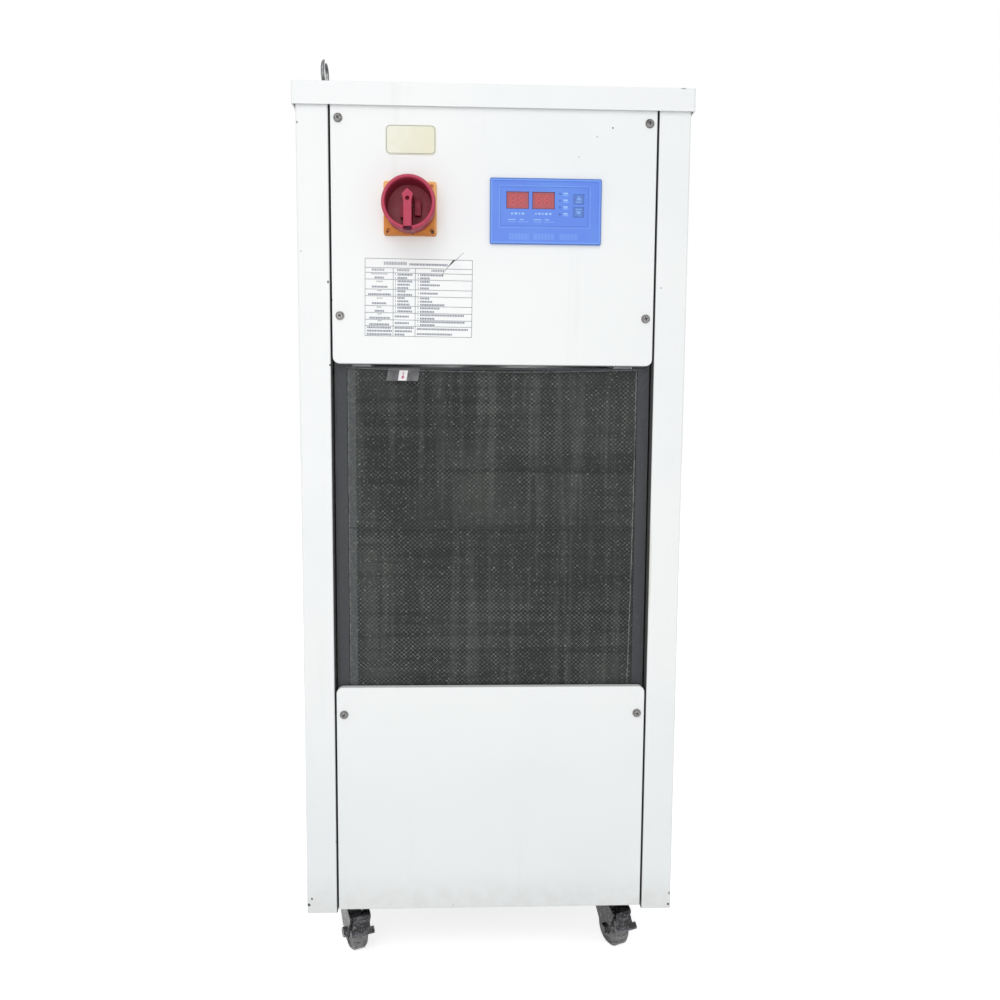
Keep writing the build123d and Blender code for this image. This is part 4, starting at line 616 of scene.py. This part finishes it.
LAMP_ROWS = [8.1 * row for row in range(4)]  # how far each lamp lies below the first, in mm
light_marks = box_lines(11.4, 8.6, 111.4, 50.4, 0.5) + box_lines(1.3, 1.3, 133.9, 76.0, 0.9)
deep_marks = box_lines(13.0, 10.2, 107.6, 46.6, 0.4)
deep_marks += [disc(left_x + 85.6 * MM, top_z - (17.9 + drop) * MM, 1.4 * MM) for drop in LAMP_ROWS]
add_piece("controller_lines", plates(light_marks, face_y, PRINT), pale_blue, "cabinet")
add_piece("controller_dots", plates(deep_marks, face_y, PRINT), deep_blue, "cabinet")


def dashes(x, z, lengths, height, gap):
    """A row of plain dashes, in mm from the face's top left corner."""
    made = []
    for length in lengths:
        made.append(on_face(x, z, length, height))
        x += length + gap
    return made


marks = dashes(26.0, 40.8, (2.2, 3.2, 1.6, 3.0), 2.4, 2.0)
marks += dashes(55.5, 40.8, (1.6, 3.0, 1.6, 3.2, 2.6), 2.4, 1.9)
for x in (22.5, 53.5):
    marks += dashes(x, 48.6, (9.0, 5.0), 1.0, 5.0)
marks += [on_face(89.8, 16.4 + drop, 5.4, 1.6) for drop in LAMP_ROWS]
add_piece("controller_marks", plates(marks, face_y, PRINT), print_white, "cabinet")
soft_marks = dashes(22.5, 51.4, (9.0, 12.0), 0.8, 3.5) + dashes(53.5, 51.4, (11.0, 12.0), 0.8, 2.5)
soft_marks += [on_face(89.8, 18.6 + drop, 6.2, 1.6) for drop in LAMP_ROWS]

# Three plain fields of upright hatching along the foot of the face
HATCH_LINE = 0.6
HATCH_PITCH = 1.75
for start, reach in ((24.0, 50.0), (54.0, 81.0), (86.0, 109.0)):
    lines = [HATCH_LINE] * int((reach - start) / HATCH_PITCH)
    soft_marks += dashes(start, 65.6, lines, 7.4, HATCH_PITCH - HATCH_LINE)
add_piece("controller_title", plates(soft_marks, face_y, PRINT), pale_blue, "cabinet")


def segment(x, z, length, upright, thick=1.25 * MM):
    """One bar of a seven-segment figure, pointed at both ends."""
    half = thick / 2
    points = [(0, 0), (half, half), (length - half, half), (length, 0), (length - half, -half), (half, -half)]
    return [(x + (b if upright else a), z + (a if upright else b)) for a, b in points]


def figure_eight(x, z, width, height):
    """All seven bars of a figure, standing on (x, z)."""
    gap = 0.25 * MM
    half = height / 2
    bars = [segment(x + gap, z + level, width - 2 * gap, False) for level in (0, half, height)]
    for side in (0, width):
        bars += [segment(x + side, z + level + gap, half - 2 * gap, True) for level in (0, half)]
    return bars


ghost_red = plain_finish("unlit_segments", linear(206, 74, 84), 0.3, linear(170, 46, 56))
shade_red = plain_finish("window_shade", linear(88, 26, 62), 0.4, linear(64, 40, 96))
FIGURE = (5.6 * MM, 11.0 * MM)
FIGURE_PLACES = (5.6 * MM, 15.4 * MM)
FIGURE_RISE = 4.4 * MM
WINDOW_WIDTH = 27.6 * MM
figures = []
shades = []
for left in (window_low.x, window_high.x - WINDOW_WIDTH):
    right = left + WINDOW_WIDTH
    for offset in FIGURE_PLACES:
        figures += figure_eight(left + offset, window_low.z + FIGURE_RISE, *FIGURE)
    shades.append(rectangle(left, window_low.z, left + 1.2 * MM, window_high.z))
    shades.append(rectangle(left, window_high.z - 1.1 * MM, right, window_high.z))
    shades.append(rectangle(right - 0.9 * MM, window_low.z, right, window_high.z))
    shades.append(rectangle(left, window_low.z, right, window_low.z + 0.7 * MM))
add_piece("display_figures", plates(figures, face_y, PRINT), ghost_red, "cabinet")
add_piece("display_shades", plates(shades, face_y, PRINT / 2), shade_red, "cabinet")

# A plain arrow head over a bar on each key, upside down on the lower one
ARROW_HALF = 3.6 * MM
ARROW_BASE, ARROW_TIP, ARROW_BAR = -1.2 * MM, 3.2 * MM, -3.4 * MM  # up from the key's centre
BAR_HALF = 0.6 * MM
key_ink = plain_finish("key_ink", linear(128, 172, 236), 0.4, linear(104, 148, 224))
for key, body, rise in (("upper_key", "upper_button", 1), ("lower_key", "lower_button", -1)):
    low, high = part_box(key)
    x = (low.x + high.x) / 2
    z = (low.z + high.z) / 2
    base_z, tip_z, bar_z = (z + rise * level for level in (ARROW_BASE, ARROW_TIP, ARROW_BAR))
    arrow = [(x - ARROW_HALF, base_z), (x, tip_z), (x + ARROW_HALF, base_z)]
    bar = rectangle(x - ARROW_HALF, bar_z - BAR_HALF, x + ARROW_HALF, bar_z + BAR_HALF)
    add_piece(key + "_mark", plates([arrow, bar], low.y, PRINT), key_ink, body)

# Bare name plate: a cream plate with a thin border under clear resin
NAME_PLATE = (-101.7 * MM, 1060.3 * MM)
NAME_SIZE = (61.4 * MM, 35.4 * MM)
NAME_RADIUS = 6.3 * MM
NAME_RISE = 1.1 * MM
NAME_BORDER = (1.1 * MM, 1.9 * MM)  # how far its outer and inner lines lie inside the plate's edge
CREAM_GRADIENT = (-0.128, -0.076)  # x from where to where the plate turns darker and more yellow, towards the right


def name_outline(inset):
    """The name plate's outline, drawn in by an inset."""
    x, z = NAME_PLATE
    half_width, half_height = (side / 2 - inset for side in NAME_SIZE)
    return rounded(x - half_width, z - half_height, x + half_width, z + half_height, NAME_RADIUS - inset)


def rolled_plate(back_y, rise, rings=5):
    """The name plate, whose edge rolls over to a flat face."""
    shape = bmesh.new()
    loops = []
    for ring in range(rings + 1):
        turn = ring / rings * pi / 2
        inset = (1 - cos(turn)) * rise
        loop_y = back_y - rise * sin(turn)
        loops.append([shape.verts.new((px, loop_y, pz)) for px, pz in name_outline(inset)])
    for lower, upper in zip(loops, loops[1:]):
        wall(shape, lower, upper)
    shape.faces.new(loops[-1])
    shape.faces.new(loops[0][::-1])
    return shape


cream = Surface("cream_name_plate", linear(240, 240, 224), 0.2, Coat_Weight=0.8, Coat_Roughness=0.05)
cream.tint(cream.between(cream.axis("X"), *CREAM_GRADIENT, 0, 0.6), linear(232, 228, 196))
cream.patches((60, 3), 0.4, 0.7, 0.4, linear(230, 230, 206))
add_piece("name_plate", rolled_plate(front_y, NAME_RISE), cream.material, "cabinet", True)


def ring_strip(outer, inner, back_y, thickness):
    """A closed strip between two outlines with as many points."""
    shape = bmesh.new()
    front = [[shape.verts.new((x, back_y - thickness, z)) for x, z in line] for line in (outer, inner)]
    back = [[shape.verts.new((x, back_y, z)) for x, z in line] for line in (outer, inner)]
    for first, second in ((front[0], front[1]), (back[1], back[0]), (back[0], front[0]), (front[1], back[1])):
        wall(shape, first, second)
    return shape


border_ink = plain_finish("border_ink", linear(150, 152, 150), 0.3, linear(126, 130, 132))
outer, inner = (name_outline(inset) for inset in NAME_BORDER)
border = ring_strip(outer, inner, front_y - NAME_RISE, PRINT)
add_piece("name_plate_border", border, border_ink, "cabinet")

# Paper table stuck to the upper panel: a grid with plain bars for its lines of print
PAPER_CENTRE = (-92.5 * MM, 872.3 * MM)
PAPER_WIDTH, PAPER_HEIGHT = 131.2, 93.4
PAPER_TURN = radians(0.5)
PAPER_MARGIN = 1.0
PAPER_THICKNESS = 0.12 * MM
ROW_LINES = (0, 11.0, 16.9, 24.9, 36.9, 45.1, 56.8, 65.2, 73.6, 81.2, PAPER_HEIGHT)
COLUMN_LINES = (34.3, 61.4)
GRID_LINE = 0.62
FIRST_COLUMN_MIDDLE = 17.3
BULLET = (3.0, 0.9)  # how far it stands before its line, and its width
BODY_LINES = (  # lengths in mm of the lines of print in each row's three columns
    ((20, 11), (18, 12), (27, 11)),
    ((7, 18), (17, 15, 12), (11, 23, 10)),
    ((5, 27), (10, 17), (20,)),
    ((6, 18), (9, 13, 15), (11, 14, 30)),
    ((6, 11), (17, 17), (24, 17)),
    ((4, 24), (17,), (54, 17)),
    ((4, 24), (17,), (54, 17)),
    ((29, 30, 30), (23, 20, 12), (62, 42)),
)
COLUMN_STARTS = ((39.6, 36.4), (67.4, 63.6))  # of the second and third columns, with and without bullets
BULLET_ROWS = (5, 7)
BLOCK_WIDTHS = (1.1, 1.7)
BLOCK_GAP = 0.55


def on_paper(x, z, width, height):
    """A rectangle given in mm from the paper's printed top left corner."""
    left = PAPER_CENTRE[0] - PAPER_WIDTH * MM / 2
    top = PAPER_CENTRE[1] + PAPER_HEIGHT * MM / 2
    return rectangle(left + x * MM, top - (z + height) * MM, left + (x + width) * MM, top - z * MM)


def print_line(x, z, length, height):
    """Small even blocks that read as a line of print from afar."""
    blocks = []
    reach = x + length
    while x < reach:
        width = draw.uniform(*BLOCK_WIDTHS)
        blocks.append(on_paper(x, z, width, height))
        x += width + BLOCK_GAP
    return blocks


grid = [on_paper(0, z - GRID_LINE / 2, PAPER_WIDTH, GRID_LINE) for z in ROW_LINES]
for x, top in [(0, 0), (PAPER_WIDTH, 0)] + [(x, ROW_LINES[1]) for x in COLUMN_LINES]:
    grid.append(on_paper(x - GRID_LINE / 2, top, GRID_LINE, PAPER_HEIGHT - top))

table_print = print_line(54, 5.0, 46, 2.6)
faint_print = print_line(23, 3.6, 28, 3.8)
for x, length in ((8, 14), (39, 14), (81, 15)):
    faint_print += print_line(x, 12.0, length, 2.8)
for row, columns in enumerate(BODY_LINES):
    top, bottom = ROW_LINES[row + 2], ROW_LINES[row + 3]
    for column, lengths in enumerate(columns):
        pitch = (bottom - top) / len(lengths)
        for k, length in enumerate(lengths):
            height = min(2.3, pitch * 0.6)
            z = top + pitch * (k + 0.5) - height / 2
            if column == 0:
                start = FIRST_COLUMN_MIDDLE - length / 2
            else:
                bullets = row < BULLET_ROWS[column - 1]
                start = COLUMN_STARTS[column - 1][0 if bullets else 1]
                if bullets:
                    faint_print.append(on_paper(start - BULLET[0], z, BULLET[1], height))
            if column == 0 and k == 0 and len(lengths) == 2:
                faint_print += print_line(start, z, length, height * 0.6)
            else:
                table_print += print_line(start, z, length, height)

paper = Surface("label_paper", linear(247, 248, 248), 0.5)
paper.patches((40, 3), 0.45, 0.75, 0.5, linear(238, 241, 244))
paper.bump(paper.noise(70, 3), 0.0002, 0.4)
sheet = on_paper(-PAPER_MARGIN, -PAPER_MARGIN, PAPER_WIDTH + 2 * PAPER_MARGIN, PAPER_HEIGHT + 2 * PAPER_MARGIN)
paper_y = front_y - PAPER_THICKNESS
grid_ink = plain_finish("grid_ink", linear(118, 128, 136), 0.6, linear(140, 148, 156))
text_ink = plain_finish("text_ink", linear(122, 127, 142), 0.6, linear(148, 152, 166))
faint_ink = plain_finish("faint_ink", linear(158, 162, 170), 0.6, linear(178, 182, 190))
for name, outlines, back_y, thickness, ink in (
    ("label_sheet", [sheet], front_y, PAPER_THICKNESS, paper.material),
    ("label_grid", grid, paper_y, PRINT, grid_ink),
    ("label_print", table_print, paper_y, PRINT, text_ink),
    ("label_faint_print", faint_print, paper_y, PRINT, faint_ink),
):
    shape = plates(outlines, back_y, thickness, PAPER_TURN, PAPER_CENTRE)
    add_piece(name, shape, ink, "cabinet")

# The tear across the label's top right corner, and the scratch that runs out of it
TEAR = ((464, 252.5), (456.5, 259.5), (453.2, 261.2), (451.6, 263.2), (447.5, 267.5), (441, 276.5))
TEAR_WIDTHS = (0.2, 0.4, 2.2, 1.7, 0.5, 0.2)
tear_ink = plain_finish("torn_edge", linear(70, 68, 66), 0.7)


def ribbon(pixels, widths, plane_y, thickness):
    """A strip of changing width through points of the photograph, on a plane."""
    points = [front_point(*pixel, plane_y) for pixel in pixels]
    upper, lower = [], []
    for k, point in enumerate(points):
        ahead = points[min(k + 1, len(points) - 1)] - points[max(k - 1, 0)]
        side = Vector((-ahead.z, 0, ahead.x)).normalized() * widths[k] * MM / 2
        upper.append((point.x + side.x, point.z + side.z))
        lower.append((point.x - side.x, point.z - side.z))
    return plates([upper + lower[::-1]], plane_y, thickness)


tear = ribbon(TEAR, TEAR_WIDTHS, paper_y - PRINT, PRINT)
add_piece("label_tear", tear, tear_ink, "cabinet")

# Main switch: fixing screws and indicator pip of the plate
plate_ink = plain_finish("plate_screws", linear(84, 56, 40), 0.45, linear(124, 84, 54), 0.3)
PLATE_SCREWS = ((-27.6, -28.2, 1.5), (27.4, -27.8, 2.3))  # offsets from the centre and radius in mm
fixings = bmesh.new()
for across, up, radius in PLATE_SCREWS:
    head = bmesh.ops.create_uvsphere(fixings, u_segments=16, v_segments=8, radius=radius * MM)["verts"]
    bmesh.ops.scale(fixings, vec=(1, 0.5, 1), verts=head)
    bmesh.ops.translate(fixings, vec=(switch_x + across * MM, plate_low.y, switch_z + up * MM), verts=head)
add_piece("plate_screws", fixings, plate_ink, "cabinet")
pip = plates([disc(switch_x + 3.4 * MM, plate_low.z + 2.2 * MM, 1.4 * MM)], plate_low.y, PRINT)
add_piece("plate_pip", pip, plate_ink, "cabinet")

# Cross recesses in the panel screws' heads, coloured near black as painted shade
recess_shade = plain_finish("screw_recess", linear(26, 25, 24), 0.6, linear(48, 46, 44), 0.3)
HEAD_RISE = 3.6 * MM
ARM_LENGTH = 2.4 * MM
ARM_HALF = 0.6 * MM
RECESS_LEVELS = (0.02 * MM, -0.3 * MM)  # from the head's top: its rim and its floor
FRONT_SCREWS = (0.189, (1.0845, 0.850, 0.3455))  # distance from the middle, and heights
REAR_SCREWS = (0.218, (0.128, 0.428, 0.768, 1.078))
rear_skin_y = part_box("rear_panel")[1].y
head_places = []
for (out, heights), head_y, facing in (
    (FRONT_SCREWS, front_y - HEAD_RISE, -1),
    (REAR_SCREWS, rear_skin_y + HEAD_RISE, 1),
):
    head_places += [(x, head_y, z, facing) for x in (-out, out) for z in heights]
corner = [(ARM_LENGTH, ARM_HALF), (ARM_HALF, ARM_HALF), (ARM_HALF, ARM_LENGTH)]
cross = corner + [(-a, b) for a, b in corner[::-1]]
cross += [(-a, -b) for a, b in corner] + [(a, -b) for a, b in corner[::-1]]
crosses = bmesh.new()
for x, y, z, facing in head_places:
    turn = draw.uniform(0, pi / 2)
    placed = [(x + a * cos(turn) - b * sin(turn), z + a * sin(turn) + b * cos(turn)) for a, b in cross]
    loops = [[crosses.verts.new((px, y + facing * level, pz)) for px, pz in placed] for level in RECESS_LEVELS]
    crosses.faces.new(loops[0])
    wall(crosses, *loops)
add_piece("screw_recesses", crosses, recess_shade, "cabinet")

# Filter net: crossing strands with a knot at each crossing, in front of the cloth
NET_PITCH = 5.8 * MM
NET_ROW = 2.7 * MM
STRAND = 0.27 * MM
KNOT = (1.15 * MM, 0.5 * MM, 0.95 * MM)
KNOT_SIZES = (0.6, 1.2)
net_y = screen_low.y - 0.15 * MM
nylon = net_nylon().material


def clipped(x, z, step_x, step_z, low, high, slack=1e-9, shortest=1e-6):
    """The ends of a line through (x, z) inside a rectangle, or None."""
    ends = []
    for along in ((low.x - x) / step_x, (high.x - x) / step_x, (low.z - z) / step_z, (high.z - z) / step_z):
        px, pz = x + along * step_x, z + along * step_z
        if low.x - slack <= px <= high.x + slack and low.z - slack <= pz <= high.z + slack:
            ends.append((along, px, pz))
    ends.sort()
    if len(ends) < 2 or ends[-1][0] - ends[0][0] <= shortest:
        return None
    return ends[0][1:], ends[-1][1:]


def strand(shape, start, end, y, radius):
    """A three-sided strand between two points of a plane."""
    length = hypot(end[0] - start[0], end[1] - start[1])
    side_x, side_z = -(end[1] - start[1]) / length, (end[0] - start[0]) / length
    loops = []
    for x, z in (start, end):
        loops.append([
            shape.verts.new((x + side_x * radius, y + radius / 2, z + side_z * radius)),
            shape.verts.new((x - side_x * radius, y + radius / 2, z - side_z * radius)),
            shape.verts.new((x, y - radius, z)),
        ])
    wall(shape, *loops)
    shape.faces.new(loops[0][::-1])
    shape.faces.new(loops[1])


strands = bmesh.new()
width = screen_high.x - screen_low.x
height = screen_high.z - screen_low.z
spread = int((width + height) / NET_PITCH) + 2
for lean in (-1, 1):
    for k in range(-spread, spread):
        ends = clipped(k * NET_PITCH, screen_low.z, NET_PITCH / 2, lean * NET_ROW, screen_low, screen_high)
        if ends:
            strand(strands, *ends, net_y, STRAND)
add_piece("filter_net", strands, nylon, "air_filter")

knots = bmesh.new()
rows = int(height / NET_ROW)
columns = int(width / NET_PITCH)
for row in range(1, rows):
    for column in range(-columns // 2, columns // 2 + 1):
        x = (column + 0.5 * (row % 2)) * NET_PITCH
        if abs(x) > width / 2 - NET_PITCH / 3:
            continue
        z = screen_low.z + row * NET_ROW
        size = draw.uniform(*KNOT_SIZES)
        half_x, half_y, half_z = (value * size for value in KNOT)
        ring = [knots.verts.new(p) for p in (
            (x + half_x, net_y, z), (x, net_y, z + half_z), (x - half_x, net_y, z), (x, net_y, z - half_z))]
        tip = knots.verts.new((x, net_y - half_y, z))
        tail = knots.verts.new((x, net_y + half_y / 2, z))
        for k in range(4):
            n = (k + 1) % 4
            knots.faces.new((ring[k], ring[n], tip))
            knots.faces.new((ring[n], ring[k], tail))
add_piece("filter_knots", knots, nylon, "air_filter")

# Filter edges: the cloth's folded left edge, the light welt on the right and the bead along the top
welt = Surface("filter_welt", linear(118, 122, 122), 0.7)
welt.patches((200, 3), 0.42, 0.65, 0.8, linear(62, 64, 66))
welt.bump(welt.noise(600, 2), 0.0004, 0.6)
hem = Surface("filter_hem", linear(72, 75, 76), 0.75)
hem.patches((420, 3), 0.45, 0.68, 0.6, linear(104, 108, 106))
hem.bump(hem.wave("Z", 0.0027, 1.5), 0.0004, 0.6)
frame_front_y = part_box("filter_frame")[0].y
HEM_SIDES = (1.6 * MM, 11 * MM)
HEM_BACK, HEM_THICKNESS = 0.4 * MM, 0.15 * MM
BEAD_WAVER = 0.2
hem_left, hem_right = (screen_low.x + side for side in HEM_SIDES)
hem_outline = rectangle(hem_left, screen_low.z, hem_right, screen_high.z)
left_hem = plates([hem_outline], screen_low.y - HEM_BACK, HEM_THICKNESS)
add_piece("filter_left_hem", left_hem, hem.material, "air_filter")


def bead(points, radius, sides=6):
    """A thin round bead through points in space."""
    shape = bmesh.new()
    loops = []
    for k, point in enumerate(points):
        ahead = (points[min(k + 1, len(points) - 1)] - points[max(k - 1, 0)]).normalized()
        out = Vector((0, -1, 0))
        side = ahead.cross(out).normalized()
        loops.append([
            shape.verts.new(point + (side * cos(2 * pi * s / sides) + out * sin(2 * pi * s / sides)) * radius)
            for s in range(sides)
        ])
    for first, second in zip(loops, loops[1:]):
        wall(shape, first, second)
    shape.faces.new(loops[0][::-1])
    shape.faces.new(loops[-1])
    return shape


def upright_bead(x, low_x, steps=60):
    """Points up a filter edge, leaning over at its foot and wavering a little on the way."""
    points = []
    for step in range(steps + 1):
        share = step / steps
        lean = (low_x - x) * (1 - share) ** 2
        place_x = x + lean + draw.uniform(-BEAD_WAVER, BEAD_WAVER) * MM
        points.append(Vector((place_x, frame_front_y + 0.9 * MM, screen_low.z + height * share)))
    return points


TOP_STEPS = 40
TOP_SAG = 4.0 * MM
CREASE_STEPS = 24
CREASE_HEIGHT = 217.5 * MM
CREASE_WAVER = 0.4
left_points = upright_bead(screen_low.x + 1.4 * MM, screen_low.x + 1.4 * MM)
right_points = upright_bead(screen_high.x - 1.6 * MM, screen_high.x - 5.5 * MM)
top_points = []
for step in range(TOP_STEPS + 1):
    share = step / TOP_STEPS
    top_z = screen_high.z + 1.6 * MM - TOP_SAG * (1 - (2 * share - 1) ** 2)
    top_points.append(Vector((screen_low.x + width * share, frame_front_y - 0.4 * MM, top_z)))
crease_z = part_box("filter_frame")[0].z + CREASE_HEIGHT
crease_points = []
for step in range(CREASE_STEPS + 1):
    waver = draw.uniform(-CREASE_WAVER, CREASE_WAVER) * MM
    place = (screen_low.x + width * step / CREASE_STEPS, screen_low.y - 0.3 * MM, crease_z + waver)
    crease_points.append(Vector(place))
edging = finishes["filter_dark"].material
for name, points, radius, material, slot in (
    ("filter_left_bead", left_points, 0.7 * MM, welt.material, "filter_mesh"),
    ("filter_right_bead", right_points, 0.8 * MM, welt.material, "filter_mesh"),
    ("filter_top_bead", top_points, 0.55 * MM, welt.material, "filter_dark"),
    ("filter_crease", crease_points, 0.6 * MM, edging, "filter_mesh"),
):
    add_piece(name, bead(points, radius), material, "air_filter", True)

# Pull tab: a curled strip of film in place of the plain one, with its small printed arrow
TAB_STEPS = 12
TAB_CURL = 5.0 * MM
TAB_LEAN = -2.4 * MM
TAB_DROP = 2.4 * MM
TAB_FILM = 0.25 * MM


def tab_surface(across, down):
    """A point of the tab's front, by its share across and down."""
    x = tab_low.x + (tab_high.x - tab_low.x) * across + TAB_LEAN * down
    z = tab_high.z - TAB_DROP - (tab_high.z - tab_low.z) * down
    y = tab_low.y - TAB_CURL * down**1.6 * (0.75 + 0.25 * cos(across * pi * 2))
    return Vector((x, y, z))


def tab_patch(left, right, top, low, lift, thickness):
    """A piece of the tab's surface between shares of its width and drop."""
    shape = bmesh.new()
    layers = []
    steps = range(TAB_STEPS + 1)
    across = [left + (right - left) * step / TAB_STEPS for step in steps]
    down = [top + (low - top) * step / TAB_STEPS for step in steps]
    for depth in (lift, lift - thickness):
        forward = Vector((0, -depth, 0))
        layers.append([[shape.verts.new(tab_surface(i, j) + forward) for i in across] for j in down])
    for layer in layers:
        for j in range(TAB_STEPS):
            for i in range(TAB_STEPS):
                shape.faces.new((layer[j][i], layer[j][i + 1], layer[j + 1][i + 1], layer[j + 1][i]))
    front, back = layers
    rim = [(0, i) for i in range(TAB_STEPS)] + [(j, TAB_STEPS) for j in range(TAB_STEPS)]
    rim += [(TAB_STEPS, i) for i in range(TAB_STEPS, 0, -1)] + [(j, 0) for j in range(TAB_STEPS, 0, -1)]
    for (j, i), (jn, inn) in zip(rim, rim[1:] + rim[:1]):
        shape.faces.new((front[j][i], front[jn][inn], back[jn][inn], back[j][i]))
    return shape


tab = add_piece("film_tab", tab_patch(0, 1, 0, 1, 0, TAB_FILM), finishes["film"].material, "air_filter")
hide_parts("pull_tab")
tab_paper = plain_finish("tab_paper", linear(236, 234, 236), 0.5, linear(214, 212, 216))
tab_ink = plain_finish("tab_ink", linear(184, 90, 118), 0.5, linear(206, 140, 158))
for name, patch, layer, ink in (
    ("tab_label", (0.36, 0.63, 0.16, 0.96), 2, tab_paper),
    ("tab_arrow_stem", (0.485, 0.51, 0.26, 0.62), 3, tab_ink),
    ("tab_arrow_head", (0.46, 0.535, 0.6, 0.8), 3, tab_ink),
):
    add_piece(name, tab_patch(*patch, PRINT * layer, PRINT), ink, "air_filter")

# Studio: white floor and surround, soft light from above and in front
SURROUND_GLOW = 0.62  # strength on the object; the background itself is seen at 1
FLOOR_HALF = 12.0
FLOOR_GREY = 0.82
FLOOR_GLOW = 0.72


def seen_rays(tree, path):
    """1 for rays that show the background to the camera, straight or by way of metal and glass."""
    total = path.outputs["Is Camera Ray"]
    for kind in ("Is Glossy Ray", "Is Transmission Ray"):
        larger = tree.nodes.new("ShaderNodeMath")
        larger.operation = "MAXIMUM"
        tree.links.new(total, larger.inputs[0])
        tree.links.new(path.outputs[kind], larger.inputs[1])
        total = larger.outputs[0]
    return total


world = bpy.data.worlds.new("surround")
bpy.context.scene.world = world
world.use_nodes = True
surround = world.node_tree
background = surround.nodes["Background"]
background.inputs["Color"].default_value = (1, 1, 1, 1)
path = surround.nodes.new("ShaderNodeLightPath")
seen = seen_rays(surround, path)
bright = surround.nodes.new("ShaderNodeMapRange")
bright.inputs["To Min"].default_value = SURROUND_GLOW
bright.inputs["To Max"].default_value = 1.0
surround.links.new(seen, bright.inputs["Value"])
surround.links.new(bright.outputs["Result"], background.inputs["Strength"])

floor_shape = bmesh.new()
floor_edges = rectangle(-FLOOR_HALF, -FLOOR_HALF, FLOOR_HALF, FLOOR_HALF)
floor_shape.faces.new([floor_shape.verts.new((x, y, 0)) for x, y in floor_edges])
floor = bpy.data.objects.new("floor", mesh_of("floor", floor_shape))
bpy.context.scene.collection.objects.link(floor)
floor_material = bpy.data.materials.new("studio_floor")
floor_material.use_nodes = True
floor_tree = floor_material.node_tree
floor_tree.nodes.clear()
matt = floor_tree.nodes.new("ShaderNodeBsdfDiffuse")
matt.inputs["Color"].default_value = (FLOOR_GREY, FLOOR_GREY, FLOOR_GREY, 1)
glow = floor_tree.nodes.new("ShaderNodeEmission")
floor_path = floor_tree.nodes.new("ShaderNodeLightPath")
floor_seen = floor_tree.nodes.new("ShaderNodeMath")
floor_seen.operation = "MULTIPLY"
floor_seen.inputs[1].default_value = FLOOR_GLOW
floor_tree.links.new(seen_rays(floor_tree, floor_path), floor_seen.inputs[0])
floor_tree.links.new(floor_seen.outputs[0], glow.inputs["Strength"])
both = floor_tree.nodes.new("ShaderNodeAddShader")
floor_output = floor_tree.nodes.new("ShaderNodeOutputMaterial")
floor_tree.links.new(matt.outputs[0], both.inputs[0])
floor_tree.links.new(glow.outputs[0], both.inputs[1])
floor_tree.links.new(both.outputs[0], floor_output.inputs["Surface"])
floor.data.materials.append(floor_material)


def soft_light(name, place, target, size, power):
    """A square area light aimed at a point."""
    data = bpy.data.lights.new(name, "AREA")
    data.size = size
    data.energy = power
    lamp = bpy.data.objects.new(name, data)
    bpy.context.scene.collection.objects.link(lamp)
    lamp.location = place
    lamp.rotation_euler = (Vector(target) - Vector(place)).to_track_quat("-Z", "Y").to_euler()


soft_light("key", (-0.45, -2.2, 2.7), (0, 0, 0.7), 1.4, 14.6)
soft_light("fill", (-0.3, -2.6, 0.7), (0, 0, 0.5), 1.8, 15.5)
soft_light("back", (0.8, 2.6, 2.2), (0, 0, 0.6), 2.0, 26)
